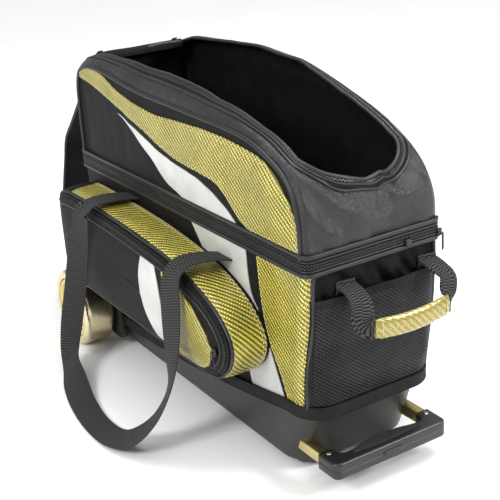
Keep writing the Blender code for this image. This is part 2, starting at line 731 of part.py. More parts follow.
def lid_shell():
    """Padded lid with its tongue-shaped opening."""
    bm = lid_skin()
    obj = place("lid_shell", bm, BLACK, 0.6)
    solid = obj.modifiers.new("padding", "SOLIDIFY")
    solid.thickness = CLOTH
    solid.offset = -1.0
    solid.use_even_offset = True
    out, run = opening_frame()
    rings = []
    for height in (0.34, 0.80):
        rings.append([run * u + out * height + Vector((0, y, 0)) for u, y in opening_outline(0.0)])
    combine(obj, "opening_cutter", loft(rings))


def opening_zip():
    """Zip tape on the skin round the opening, clear of the square end."""
    skin = lid_skin()
    bmesh.ops.triangulate(skin, faces=skin.faces)
    tree = BVHTree.FromBMesh(skin)
    skin.free()
    out, run = opening_frame()
    rings = []
    inner_line = opening_outline(0.0015)[3:]
    outer_line = opening_outline(0.0135)[3:]
    for inner, outer in zip(inner_line, outer_line):
        ring = []
        for (u, y), lifts in ((inner, (0.0020, 0.0036)), (outer, (0.0036, 0.0020))):
            start = run * u + out * 0.9 + Vector((0, y, 0))
            spot, normal, _, _ = tree.ray_cast(start, -out)
            normal = normal if normal.dot(out) > 0 else -normal
            ring += [spot + normal * lift for lift in lifts]
        rings.append(ring)
    place("opening_zip", loft(rings), (0.02, 0.02, 0.02), 0.5)


def shoe_tray():
    """Lined floor and low walls of the shoe compartment, inside the lid."""
    low = SPLIT_Z + 0.004
    wall = 0.002
    half_x, half_y, corner = 0.3765, 0.1185, 0.02
    rings = [rounded_plan(half_x, half_y, corner, level(low), 4, 4),
             rounded_plan(half_x - 0.001, half_y, corner, level(low + 0.06), 4, 4),
             rounded_plan(half_x - 0.001 - wall, half_y - wall, corner - wall, level(low + 0.06),
                          4, 4),
             rounded_plan(half_x - wall, half_y - wall, corner - wall, level(low + wall), 4, 4)]
    place("shoe_tray", loft(rings), (0.03, 0.03, 0.03), 0.9)


# --- shoe compartment cover ---------------------------------------------------------------------------
def direction(degrees):
    """Unit vector in the XZ plane, measured from +X towards +Z."""
    return Vector((math.cos(math.radians(degrees)), 0, math.sin(math.radians(degrees))))


def cover_tip_line(start, heading):
    """Centre line of the last panel: straight, then curling out along the floor."""
    line = [start, start + direction(heading) * COVER_TIP_STRAIGHT]
    steps = 6
    arc = COVER_PANELS[-1][0] - COVER_TIP_STRAIGHT
    for k in range(steps):
        angle = heading - COVER_TIP_BEND * (k + 0.5) / steps
        line.append(line[-1] + direction(angle) * arc / steps)
    return line


def cover_panel(line, name, pivot, tapered=False):
    """A padded panel along a centre line in the XZ plane."""
    rings = []
    for i, spot in enumerate(line):
        ahead = (line[min(i + 1, len(line) - 1)] - line[max(i - 1, 0)]).normalized()
        face = Vector((-ahead.z, 0, ahead.x)) * COVER_THICK / 2
        half = COVER_HALF_WIDTH
        if tapered:
            curled = max((i - 1) / (len(line) - 2), 0.0)
            half *= math.sqrt(1 - COVER_TIP_NARROWING * curled ** 2)
        ring = [spot + face, spot - face]
        rings.append([ring[0] + Vector((0, -half, 0)), ring[1] + Vector((0, -half, 0)),
                      ring[1] + Vector((0, half, 0)), ring[0] + Vector((0, half, 0))])
    place(name, loft(rings), BLACK, 0.75, pivot=pivot)


def shoe_cover():
    """The cover of the opening, folded back over the wheel end in three hinged panels."""
    start = Vector((COVER_HINGE[0], 0, COVER_HINGE[1]))
    for i, (length, heading) in enumerate(COVER_PANELS):
        ahead = direction(heading)
        name = f"cover_panel_{i + 1}"
        first = start + ahead * COVER_FOLD_GAP
        if i < len(COVER_PANELS) - 1:
            end = start + ahead * length
            cover_panel([first, end - ahead * COVER_FOLD_GAP], name, start)
            start = end
        else:
            line = cover_tip_line(start, heading)
            cover_panel([first] + line[1:], name, start, tapered=True)


# --- end handle and zip furniture -----------------------------------------------------------------------
END_HINGE = (0.3925, 0.3400)


def end_handle():
    """Webbing arms and a wrapped grip on the tow end."""
    x, z = END_HINGE
    ends = (("front", -0.058, -0.060, -0.0575, 1), ("back", 0.099, 0.105, 0.0875, -1))
    for word, attach_y, swing_y, grip_y, inward in ends:
        route = (((x, attach_y, z), (0, 1, 0)),
                 ((x + 0.020, attach_y, z - 0.003), (0, 1, 0)),
                 ((x + 0.038, swing_y, z - 0.016), (0, 1, 0.25 * inward)),
                 ((x + 0.048, grip_y - 0.009 * inward, z - 0.034), (0.2, 0.8, 0.8 * inward)),
                 ((x + 0.0545, grip_y - 0.005 * inward, z - 0.0455), (0, 0.2, 1.0 * inward)),
                 ((x + 0.0615, grip_y, z - 0.0465), (0, 0, 1.0 * inward)))
        place("end_handle_arm_" + word, ribbon(route, 0.032, WEBBING_THICK), BLACK, 0.8,
              pivot=(x, 0.02, z))
    rings = []
    count = 8
    for k in range(count + 1):
        y = -0.053 + 0.134 * k / count
        bow = 0.006 * (1 - (2 * k / count - 1) ** 2)
        centre = Vector((x + 0.0625 + bow, y, z - 0.0475 - 0.5 * bow))
        rings.append([centre + Vector((0.0062 * a, 0, 0.0150 * b)) for a, b in
                      ((-0.6, -1), (0.6, -1), (1, -0.6), (1, 0.6), (0.6, 1), (-0.6, 1), (-1, 0.6),
                       (-1, -0.6))])
    place("end_handle_grip", loft(rings), GOLD_VINYL, 0.4, pivot=(x, 0.02, z), smooth=True)


PULL_ANGLE = math.radians(36)


def corner_spot(out, along):
    """A point outside the rounded back corner of the zip band."""
    corner = 0.012
    normal = Vector((math.cos(PULL_ANGLE), math.sin(PULL_ANGLE), 0))
    side = Vector((-normal.y, normal.x, 0))
    middle = Vector((HALF_LENGTH - corner, HALF_WIDTH - corner, 0))
    return middle + normal * (corner + out) + side * along


def corner_block(out_range, along, z_range):
    """A block that follows the corner's direction."""
    rings = []
    for z in z_range:
        ring = [corner_spot(out_range[0], -along), corner_spot(out_range[1], -along),
                corner_spot(out_range[1], along), corner_spot(out_range[0], along)]
        rings.append([p + Vector((0, 0, z)) for p in ring])
    return loft(rings)


def zip_furniture():
    """Parked slider with its pull at the back corner, and a second slider on the end."""
    face = GAP + BAND_THICK
    place("main_slider", corner_block((face + 0.0008, face + 0.0062), 0.006, (0.3740, 0.3852)),
          (0.03, 0.03, 0.03), 0.35, 0.8)
    pivot = corner_spot(face + 0.0080, 0.0) + Vector((0, 0, 0.3780))
    place("main_pull", corner_block((face + 0.0070, face + 0.0092), 0.0045, (0.3500, 0.3790)),
          (0.03, 0.03, 0.03), 0.35, 0.8, pivot)
    x = HALF_LENGTH + face + GAP
    place("end_slider", box((x, 0.054, 0.3740), (x + 0.0055, 0.066, 0.3852)),
          (0.03, 0.03, 0.03), 0.35, 0.8)


# --- the whole bag --------------------------------------------------------------------------------------
def build():
    """Make every piece; front is the -Y side and back the +Y side."""
    base_tray()
    skid_foot()
    hem_binding()
    lower_shell()
    ball_deck()
    mesh_pocket()
    lid_hinge_tape()
    for index in range(3):
        ball_cup(index, f"ball_cup_{index + 1}")
    for index in range(2):
        ball_divider((index - 0.5) * BALL_PITCH, f"ball_divider_{index + 1}")
    for side, word in ((-1, "front"), (1, "back")):
        guide_channel(side, "guide_channel_" + word)
        wheel_bracket(side, "wheel_bracket_" + word)
        axle(side, "axle_" + word)
        wheel(side, word)
        tow_tube(side, "tow_tube_" + word)
        grip_screw(side, "grip_screw_" + word)
        pocket(side, "pocket_" + word)
        pocket_zip(side, "pocket_zip_" + word)
        pocket_slider(side, "pocket_slider_" + word)
        pocket_pull(side, "pocket_pull_" + word)
        strap_anchor(side, -0.170, 0.0, "strap_wheel_anchor_" + word)
        strap_anchor(side, 0.160, 0.020, "strap_tow_anchor_" + word)
        strap_loop(side, "strap_loop_" + word)
    tow_grip()
    grip_insert()
    tow_button()
    zip_band("zip_band_lower", GAP, SPLIT_Z - BAND_HEIGHT, SPLIT_Z - 0.0005)
    zip_band("zip_band_upper", 0.0012, SPLIT_Z + 0.0008, SPLIT_Z + BAND_HEIGHT)
    lid_shell()
    opening_zip()
    shoe_tray()
    shoe_cover()
    end_handle()
    zip_furniture()


build()
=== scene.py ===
"""Looks of the wheeled bowling bag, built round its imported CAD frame.

Pieces are modelled in the bag's own frame: x = 0 is the middle of the fabric body, -Y is the side
with the patterned pocket that faces the camera, z = 0 is the floor.  Shape.build() shifts them to
the row frame.  Metres throughout.
"""
import math

import bpy
from mathutils import Matrix, Vector, noise
from mathutils.bvhtree import BVHTree
from mathutils.geometry import delaunay_2d_cdt


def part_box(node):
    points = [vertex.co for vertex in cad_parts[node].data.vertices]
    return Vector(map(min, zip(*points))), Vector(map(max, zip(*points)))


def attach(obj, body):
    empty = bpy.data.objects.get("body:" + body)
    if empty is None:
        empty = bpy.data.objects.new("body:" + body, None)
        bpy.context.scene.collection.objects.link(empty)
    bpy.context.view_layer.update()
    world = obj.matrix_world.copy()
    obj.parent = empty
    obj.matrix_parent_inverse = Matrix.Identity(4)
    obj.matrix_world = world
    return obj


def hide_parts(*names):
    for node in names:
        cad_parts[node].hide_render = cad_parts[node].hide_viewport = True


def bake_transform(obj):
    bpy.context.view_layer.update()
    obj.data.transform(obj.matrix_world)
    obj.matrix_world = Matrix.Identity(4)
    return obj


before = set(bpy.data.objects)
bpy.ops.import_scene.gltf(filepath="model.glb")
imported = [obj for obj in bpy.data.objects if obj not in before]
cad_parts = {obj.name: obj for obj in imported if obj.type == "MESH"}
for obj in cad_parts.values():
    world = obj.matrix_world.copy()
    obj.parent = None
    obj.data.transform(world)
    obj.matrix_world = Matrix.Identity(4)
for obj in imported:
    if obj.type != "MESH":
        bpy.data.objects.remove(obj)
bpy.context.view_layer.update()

# --- sizes, from the frame where it has them ------------------------------------------------------
deck_low, deck_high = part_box("ball_deck")
SHIFT_X = (deck_low.x + deck_high.x) / 2      # the fabric body's middle, in the row frame
FRAME_SHIFT = Vector((SHIFT_X, 0.0, 0.0))
HALF_LENGTH = 0.387
HALF_WIDTH = 0.125
SPLIT_Z = 0.3860
FRONT, BACK = -1, 1
SIDES = ((FRONT, "front"), (BACK, "back"))


# --- curves and small maths ---------------------------------------------------------------------------
def smooth_line(points, steps, closed=False):
    """Points along a Catmull-Rom curve through the given points, with steps per stretch."""
    points = [Vector(p) for p in points]
    if closed:
        padded = [points[-1]] + points + [points[0], points[1]]
    else:
        padded = [2 * points[0] - points[1]] + points + [2 * points[-1] - points[-2]]
    line = []
    for a, b, c, d in zip(padded, padded[1:], padded[2:], padded[3:]):
        for k in range(steps):
            t = k / steps
            line.append(0.5 * ((2 * b) + (c - a) * t + (2 * a - 5 * b + 4 * c - d) * t ** 2
                               + (3 * b - a - 3 * c + d) * t ** 3))
    if not closed:
        line.append(points[-1])
    return line


def resample(line, ups, spacing, closed=False):
    """Evenly spaced points of a line, with its up directions."""
    if closed:
        line, ups = line + [line[0]], ups + [ups[0]]
    lengths = [0.0]
    for a, b in zip(line, line[1:]):
        lengths.append(lengths[-1] + (b - a).length)
    count = max(int(round(lengths[-1] / spacing)), 2)
    points, directions = [], []
    segment = 0
    for k in range(count if closed else count + 1):
        run = min(lengths[-1] * k / count, lengths[-1])
        while segment < len(line) - 2 and lengths[segment + 1] < run:
            segment += 1
        span = max(lengths[segment + 1] - lengths[segment], 1e-9)
        t = (run - lengths[segment]) / span
        points.append(line[segment].lerp(line[segment + 1], t))
        directions.append(ups[segment].lerp(ups[segment + 1], t))
    return points, directions


def smoothstep(t):
    """0 below 0, 1 above 1, and smooth between."""
    t = min(max(t, 0.0), 1.0)
    return t * t * (3 - 2 * t)


def ripple(point, scale, amount, seed=0.0):
    """Smooth noise of about the given amount; scale is in waves per metre."""
    return amount * noise.noise(Vector(point) * scale + Vector((seed, 1.7 * seed, 0.3 * seed)))


def circle(radius, sides, squash=1.0):
    """A closed round profile."""
    turns = [2 * math.pi * k / sides for k in range(sides)]
    return [(radius * math.cos(a), squash * radius * math.sin(a)) for a in turns]


def rounded_bar(half_a, half_b, radius, steps=3):
    """A closed rectangular profile with round corners."""
    points = []
    for sign_a, sign_b, first in ((1, 1, 0), (-1, 1, 90), (-1, -1, 180), (1, -1, 270)):
        for k in range(steps + 1):
            angle = math.radians(first + 90 * k / steps)
            points.append((sign_a * (half_a - radius) + radius * math.cos(angle),
                           sign_b * (half_b - radius) + radius * math.sin(angle)))
    return points


# --- mesh building ---------------------------------------------------------------------------------------
class Shape:
    """Points, faces and UVs (in metres) of one piece, gathered before it becomes an object."""

    def __init__(self):
        self.points = []
        self.faces = []
        self.uvs = []

    def grid(self, rows, us=None, vs=None, close_rows=False, close_cols=False):
        """Quads between rows of points; us and vs are the UV of each row and each column."""
        base = len(self.points)
        width = len(rows[0])
        us = us or [0.01 * i for i in range(len(rows) + 1)]
        vs = vs or [0.01 * j for j in range(width + 1)]
        for row in rows:
            self.points += [Vector(p) for p in row]
        for i in range(len(rows) if close_rows else len(rows) - 1):
            below = base + i * width
            above = base + (i + 1) % len(rows) * width
            for j in range(width if close_cols else width - 1):
                k = (j + 1) % width
                self.faces.append((below + j, below + k, above + k, above + j))
                self.uvs.append(((us[i], vs[j]), (us[i], vs[j + 1]),
                                 (us[i + 1], vs[j + 1]), (us[i + 1], vs[j])))
        return base

    def cap(self, first, count, backwards=False):
        """One face over a ring of points already added."""
        ring = list(range(first, first + count))
        self.faces.append(tuple(reversed(ring)) if backwards else tuple(ring))
        self.uvs.append(tuple((self.points[i].x, self.points[i].z) for i in self.faces[-1]))

    def tree(self):
        """A search tree of the shape, to lay other pieces on it."""
        return BVHTree.FromPolygons(self.points, self.faces)

    def build(self, name, material, body="root", replaces=(), sharp=40, inside=None):
        """The finished object, riding on its body."""
        mesh = bpy.data.meshes.new(name)
        mesh.from_pydata([p + FRAME_SHIFT for p in self.points], [], self.faces)
        layer = mesh.uv_layers.new(name="metres")
        layer.data.foreach_set("uv", [c for face in self.uvs for uv in face for c in uv])
        mesh.materials.append(material)
        if inside:
            mesh.materials.append(inside)
        mesh.validate()
        mesh.shade_smooth()
        mesh.set_sharp_from_angle(angle=math.radians(sharp))
        obj = bpy.data.objects.new(name, mesh)
        bpy.context.scene.collection.objects.link(obj)
        if body:
            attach(obj, body)
        if replaces:
            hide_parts(*replaces)
        return obj


def sweep(shape, line, ups, profile, closed=False, scales=None):
    """Carry a closed profile along a line; profile is (across, up) and ups give the up direction."""
    rows, us = [], []
    run = 0.0
    count = len(line)
    for i, centre in enumerate(line):
        before = line[i - 1] if i or closed else line[0]
        after = line[(i + 1) % count] if i < count - 1 or closed else line[-1]
        ahead = (after - before).normalized()
        up = (ups[i] - ups[i].dot(ahead) * ahead).normalized()
        side = ahead.cross(up)
        scale = scales[i] if scales else 1.0
        rows.append([centre + (side * a + up * b) * scale for a, b in profile])
        us.append(run)
        run += (line[(i + 1) % count] - centre).length
    us.append(run)
    vs = [0.0]
    for (a, b), (c, d) in zip(profile, profile[1:] + profile[:1]):
        vs.append(vs[-1] + math.hypot(c - a, d - b))
    first = shape.grid(rows, us, vs, close_rows=closed, close_cols=True)
    if not closed:
        shape.cap(first, len(profile), backwards=True)
        shape.cap(first + (count - 1) * len(profile), len(profile))


def stitches(shape, line, ups, pitch=0.0062, radius=0.00075, closed=False):
    """A row of thread stitches lying on a surface; two thirds thread, one third gap."""
    points, normals = resample(line, ups, pitch / 3, closed)
    ring = circle(1.0, 5)
    for k in range(0, len(points) - 2, 3):
        centres = [points[k + j] for j in range(3)]
        lifts = [normals[k + j].normalized() * radius * 0.5 for j in range(3)]
        middle = [c + lift for c, lift in zip(centres, lifts)]
        sweep(shape, middle, normals[k:k + 3], [(radius * a, radius * b) for a, b in ring],
              scales=(0.45, 1.0, 0.45))


def teeth(shape, line, ups, pitch=0.0030, width=0.0052, height=0.0016, closed=False):
    """Interlocked zip teeth along a line."""
    points, normals = resample(line, ups, pitch, closed)
    for k in range(len(points) - 1):
        ahead = (points[k + 1] - points[k]).normalized()
        up = (normals[k] - normals[k].dot(ahead) * ahead).normalized()
        side = ahead.cross(up)
        centre = points[k] + side * (0.0007 if k % 2 else -0.0007)
        half = ahead * pitch * 0.34
        ring = [(-0.5, 0.0), (-0.36, 1.0), (0.36, 1.0), (0.5, 0.0)]
        rows = [[centre + shift + side * width * a + up * height * b for a, b in ring]
                for shift in (-half, half)]
        first = shape.grid(rows, close_cols=True)
        shape.cap(first, 4, backwards=True)
        shape.cap(first + 4, 4)


def inside_outline(x, z, outline):
    """True if a point lies inside a closed outline."""
    found = False
    for (x1, z1), (x2, z2) in zip(outline, outline[1:] + outline[:1]):
        if (z1 > z) != (z2 > z) and x < (x2 - x1) * (z - z1) / (z2 - z1) + x1:
            found = not found
    return found


def filled(outline, spacing):
    """Triangles that fill a closed (x, z) outline, with points inside it: (points, faces)."""
    outline = [(p[0], p[1]) for p in outline]
    xs = [p[0] for p in outline]
    zs = [p[1] for p in outline]
    points = [Vector(p) for p in outline]
    keep_off = spacing * 0.45
    for i in range(1, int((max(xs) - min(xs)) / spacing) + 1):
        x = min(xs) + i * spacing
        for j in range(1, int((max(zs) - min(zs)) / spacing) + 1):
            z = min(zs) + j * spacing + (spacing / 2 if i % 2 else 0.0)
            near = any(abs(px - x) < keep_off and abs(pz - z) < keep_off for px, pz in outline)
            if not near and inside_outline(x, z, outline):
                points.append(Vector((x, z)))
    count = len(outline)
    edges = [(i, (i + 1) % count) for i in range(count)]
    made, _, faces, _, _, _ = delaunay_2d_cdt(points, edges, [], 1, 1e-7)
    return [(p.x, p.y) for p in made], [tuple(f) for f in faces]


def laid(outline, surface, spacing=0.008, skirt=0.0):
    """A sheet over a closed (x, z) outline, laid on a surface, with a skirt that turns its rim in."""
    points, faces = filled(outline, spacing)
    shape = Shape()
    tops, normals = [], []
    for x, z in points:
        point, normal = surface(x, z)
        tops.append(point)
        normals.append(normal)
    shape.points = list(tops)
    for face in faces:
        shape.faces.append(face)
        shape.uvs.append(tuple(points[i] for i in face))
    if skirt:
        edges = {}
        for face in faces:
            for a, b in zip(face, face[1:] + face[:1]):
                edges[(a, b)] = (b, a) not in edges
                if not edges[(a, b)]:
                    edges[(b, a)] = False
        base = len(tops)
        shape.points += [p - n * skirt for p, n in zip(tops, normals)]
        for (a, b), rim in edges.items():
            if rim:
                shape.faces.append((b, a, base + a, base + b))
                shape.uvs.append((points[b], points[a], points[a], points[b]))
    return shape


def on_tree(tree, side, lift=0.0):
    """A surface function: where a sideways ray meets the tree, raised along its normal."""
    def surface(x, z):
        hit, normal, _, _ = tree.ray_cast(Vector((x, side * 0.6, z)), Vector((0, -side, 0)))
        if hit is None:
            hit, normal, _, _ = tree.find_nearest(Vector((x, side * HALF_WIDTH, z)))
        if normal.y * side < 0:
            normal = -normal
        return hit + normal * lift, normal
    return surface


def inset(outline, distance):
    """A closed (x, z) outline drawn in by a distance; the outline runs clockwise or not."""
    count = len(outline)
    area = sum(a[0] * b[1] - b[0] * a[1] for a, b in zip(outline, outline[1:] + outline[:1]))
    turn = 1 if area > 0 else -1
    made = []
    for i in range(count):
        before, after = outline[i - 2], outline[(i + 2) % count]
        ahead = Vector((after[0] - before[0], after[1] - before[1])).normalized()
        made.append((outline[i][0] - turn * ahead.y * distance,
                     outline[i][1] + turn * ahead.x * distance))
    return made


def along_surface(flat, surface, lift=0.0):
    """(x, z) points laid on a surface, with the surface's normals."""
    found = [surface(p[0], p[1]) for p in flat]
    return [p + n * lift for p, n in found], [n for _, n in found]


# --- materials ----------------------------------------------------------------------------------------------
class Look:
    """One procedural material: a Principled shader with helpers that wire texture nodes."""

    def __init__(self, name, slot, roughness, metallic=0.0, **sockets):
        self.material = bpy.data.materials.new(name)
        self.material.use_nodes = True
        self.material["slot"] = slot
        self.tree = self.material.node_tree
        self.shader = self.tree.nodes["Principled BSDF"]
        self.shader.inputs["Roughness"].default_value = roughness
        self.shader.inputs["Metallic"].default_value = metallic
        for socket, value in sockets.items():
            self.shader.inputs[socket.replace("_", " ")].default_value = value
        coordinates = self.tree.nodes.new("ShaderNodeTexCoord")
        self.place = coordinates.outputs["Object"]
        self.uv = coordinates.outputs["UV"]

    def node(self, kind, settings=None, **inputs):
        """Add a node; inputs are values or sockets, named with underscores for spaces."""
        node = self.tree.nodes.new(kind)
        for name, value in (settings or {}).items():
            setattr(node, name, value)
        for name, value in inputs.items():
            socket = node.inputs[int(name[1:])] if name[1:].isdigit() else \
                node.inputs[name.replace("_", " ")]
            if isinstance(value, bpy.types.NodeSocket):
                self.tree.links.new(value, socket)
            else:
                socket.default_value = value
        return node

    def maths(self, operation, first, second=0.0):
        """One maths operation on sockets or numbers."""
        return self.node("ShaderNodeMath", {"operation": operation}, _0=first, _1=second).outputs[0]

    def noise(self, scale, detail=3.0, source=None, roughness=0.5):
        """Noise from 0 to 1; scale in waves per metre."""
        return self.node("ShaderNodeTexNoise", Vector=source or self.place, Scale=scale,
                         Detail=detail, Roughness=roughness).outputs["Fac"]

    def cells(self, scale, source=None, feature="F1"):
        """Distance to the nearest of many scattered points."""
        return self.node("ShaderNodeTexVoronoi", {"feature": feature}, Vector=source or self.place,
                         Scale=scale).outputs["Distance"]

    def turned(self, degrees, source=None):
        """Coordinates turned about their third axis: the first two outputs as sockets."""
        mapping = self.node("ShaderNodeMapping", Vector=source or self.uv,
                            Rotation=(0.0, 0.0, math.radians(degrees)))
        parts = self.node("ShaderNodeSeparateXYZ", Vector=mapping.outputs[0])
        return parts.outputs[0], parts.outputs[1]

    def wave(self, value, pitch, shift=0.0):
        """A 0 to 1 sine wave of the given pitch in metres along a coordinate."""
        turns = self.maths("MULTIPLY", value, 2 * math.pi / pitch)
        if not isinstance(shift, float) or shift:
            turns = self.maths("ADD", turns, shift)
        return self.maths("ADD", self.maths("MULTIPLY", self.maths("SINE", turns), 0.5), 0.5)

    def colours(self, factor, stops):
        """Base colour from a ramp of (position, colour) stops."""
        ramp = self.node("ShaderNodeValToRGB", Fac=factor)
        elements = ramp.color_ramp.elements
        while len(elements) < len(stops):
            elements.new(0.5)
        for element, (position, colour) in zip(elements, stops):
            element.position = position
            element.color = (*colour, 1.0)
        self.tree.links.new(ramp.outputs["Color"], self.shader.inputs["Base Color"])
        return ramp.outputs["Color"]

    def rough(self, factor, low, high):
        """Roughness that follows a 0 to 1 factor."""
        spread = self.node("ShaderNodeMapRange", Value=factor, To_Min=low, To_Max=high)
        self.tree.links.new(spread.outputs[0], self.shader.inputs["Roughness"])

    def bump(self, height, distance, strength=1.0, below=None):
        """A bump of the given height in metres; below is a bump to add it to."""
        node = self.node("ShaderNodeBump", Height=height, Distance=distance, Strength=strength)
        if below:
            self.tree.links.new(below, node.inputs["Normal"])
        self.tree.links.new(node.outputs[0], self.shader.inputs["Normal"])
        return node.outputs[0]


def woven(name, slot, dark, light, pitch=0.0011, roughness=0.85, degrees=0.0):
    """Plain woven cloth with slubs and a faint sheen."""
    look = Look(name, slot, roughness, Specular_IOR_Level=0.12, Sheen_Weight=0.01)
    across, along = look.turned(degrees)
    weave = look.maths("MULTIPLY", look.wave(across, pitch), look.wave(along, pitch))
    patch = look.noise(35.0, 4.0)
    mixed = look.maths("ADD", look.maths("MULTIPLY", weave, 0.45),
                       look.maths("MULTIPLY", patch, 0.6))
    # The weave part of the colour is painted shade: thread tops lighter, gaps between threads darker. The slub
    # noise is the cloth's own uneven tone.
    look.colours(mixed, ((0.2, dark), (0.85, light)))
    soft = look.bump(look.noise(90.0, 3.0), 0.0010, 0.35)
    look.bump(weave, 0.0004, 0.8, soft)
    return look.material


def webbing():
    """Ribbed polyester webbing: ribs across the strap with a herringbone over them."""
    look = Look("webbing", "webbing", 0.7, Specular_IOR_Level=0.2, Sheen_Weight=0.03)
    along, across = look.turned(0.0)
    columns = look.maths("FLOOR", look.maths("MULTIPLY", across, 1 / 0.012))
    slant = look.maths("MULTIPLY", across, 0.10)
    ribs = look.wave(look.maths("ADD", along, slant), 0.0046,
                     look.maths("MULTIPLY", columns, math.pi))
    fine = look.noise(900.0, 2.0)
    height = look.maths("ADD", look.maths("MULTIPLY", ribs, 0.8),
                        look.maths("MULTIPLY", fine, 0.2))
    # The colour follows the rib height: painted shade in the grooves and a painted highlight on the rib tops of the
    # black webbing.
    look.colours(height, ((0.20, (0.002, 0.002, 0.002)), (0.85, (0.055, 0.055, 0.053))))
    look.bump(height, 0.0012, 1.0)
    return look.material


def mesh_cloth():
    """Open diagonal weave of the end pocket."""
    look = Look("mesh_cloth", "black_mesh", 0.5, Specular_IOR_Level=0.12)
    first = look.turned(52.0)[0]
    second = look.turned(-38.0)[0]
    threads = look.maths("MAXIMUM", look.wave(first, 0.0036), look.wave(second, 0.0050))
    shade = look.maths("MULTIPLY", threads, look.maths("ADD", look.noise(16.0, 4.0), 0.42))
    look.colours(shade, ((0.46, (0.0008, 0.0008, 0.0008)), (0.98, (0.036, 0.036, 0.037))))
    soft = look.bump(look.noise(20.0, 3.0), 0.008, 0.5)
    look.bump(threads, 0.0012, 1.0, soft)
    return look.material


def gold_vinyl(name, low, middle, high, depth):
    """Gold vinyl embossed with diagonal ribs of small blocks, with painted shade in the grooves and a painted
    highlight on the rib tops.
    """
    look = Look(name, "gold_vinyl", 0.30, 0.45, Specular_IOR_Level=0.5, Coat_Weight=0.40,
                Coat_Roughness=0.12)
    along, across = look.turned(39.0)
    rib_pitch = 0.0072
    row = look.maths("FLOOR", look.maths("MULTIPLY", across, 1 / rib_pitch))
    shift = look.maths("MULTIPLY", row, math.pi)
    ribs = look.wave(across, rib_pitch)
    blocks = look.wave(along, 0.0046, shift)
    height = look.maths("MULTIPLY", ribs, look.maths("ADD", look.maths("MULTIPLY", blocks, 0.35),
                                                     0.65))
    patch = look.noise(22.0, 3.0)
    factor = look.maths("ADD", look.maths("MULTIPLY", height, 0.75),
                        look.maths("MULTIPLY", patch, 0.25))
    # The ramp paints shade into the rib grooves (low) and a highlight on the rib tops (high). The patch noise adds
    # the vinyl's own uneven tone.
    look.colours(factor, ((0.08, low), (0.42, middle), (0.90, high)))
    soft = look.bump(look.noise(18.0, 3.0), 0.008, 0.5)
    look.bump(height, depth, 1.0, soft)
    look.rough(height, 0.38, 0.18)
    return look.material


def silver_vinyl():
    """Smooth silver-white vinyl with a pearly sheen and soft dents."""
    look = Look("silver_vinyl", "", 0.34, 0.12, Coat_Weight=0.3, Coat_Roughness=0.25)
    look.colours(look.noise(14.0, 4.0), ((0.25, (0.44, 0.45, 0.43)), (0.75, (0.62, 0.63, 0.60))))
    soft = look.bump(look.noise(16.0, 2.0), 0.006, 0.35)
    look.bump(look.noise(900.0, 2.0), 0.0002, 0.4, soft)
    return look.material


def black_vinyl():
    """Soft satin vinyl with a fine leather grain."""
    look = Look("black_vinyl", "black_vinyl", 0.38, Specular_IOR_Level=0.45)
    look.colours(look.noise(9.0, 4.0), ((0.25, (0.006, 0.006, 0.007)),
                                        (0.8, (0.017, 0.018, 0.020))))
    grain = look.cells(520.0, feature="DISTANCE_TO_EDGE")
    soft = look.bump(look.noise(9.0, 2.0), 0.030, 0.6)
    finer = look.bump(look.noise(26.0, 3.0), 0.008, 0.5, soft)
    look.bump(grain, 0.0012, 0.6, finer)
    look.rough(look.noise(60.0, 3.0), 0.28, 0.42)
    return look.material


def moulded(name, slot, dark, light, low, high, grain=1400.0, depth=0.00025):
    """Moulded plastic with a fine texture and uneven gloss."""
    look = Look(name, slot, (low + high) / 2)
    look.colours(look.noise(12.0, 4.0), ((0.3, dark), (0.75, light)))
    look.rough(look.noise(40.0, 4.0), low, high)
    look.bump(look.noise(grain, 2.0), depth, 0.5)
    return look.material


def metal(name, slot, dark, light, low, high, stretch=(1.0, 1.0, 1.0), depth=0.00008):
    """Plated or drawn metal; stretch draws its fine scratches out along an axis."""
    look = Look(name, slot, low, 1.0)
    mapping = look.node("ShaderNodeMapping", Vector=look.place, Scale=stretch)
    drawn = look.noise(600.0, 3.0, mapping.outputs[0])
    look.colours(look.noise(18.0, 3.0), ((0.3, dark), (0.75, light)))
    look.rough(drawn, low, high)
    look.bump(drawn, depth, 0.5)
    return look.material


def pebbled():
    """Rubber pad with close round pimples."""
    look = Look("grip_pad", "grip_pad", 0.75)
    dots = look.cells(420.0)
    # Pimple tops are painted lighter and the gaps between them darker: painted highlight and painted shade on one
    # black rubber.
    look.colours(dots, ((0.05, (0.030, 0.030, 0.030)), (0.6, (0.006, 0.006, 0.006))))
    look.bump(look.maths("SUBTRACT", 1.0, dots), 0.0010, 1.0)
    return look.material


def foam():
    """Open-cell grey foam."""
    look = Look("foam", "foam", 0.95)
    cells = look.cells(350.0)
    # The cell pits are painted darker than their rims: painted shade in the pores.
    look.colours(cells, ((0.1, (0.03, 0.03, 0.03)), (0.8, (0.085, 0.085, 0.085))))
    look.bump(cells, 0.0010, 0.9)
    return look.material


def thread():
    """Cream sewing thread with a twist."""
    look = Look("thread", "", 0.6, Sheen_Weight=0.2)
    look.colours(look.noise(700.0, 2.0), ((0.3, (0.52, 0.46, 0.20)), (0.8, (0.80, 0.74, 0.44))))
    look.bump(look.wave(look.turned(35.0)[0], 0.0007), 0.0002, 0.8)
    return look.material


def floor_look():
    """Plain pale studio floor."""
    look = Look("studio_floor", "", 0.75)
    look.colours(look.noise(2.0, 2.0), ((0.2, (0.90, 0.90, 0.90)), (0.8, (0.93, 0.93, 0.93))))
    return look.material


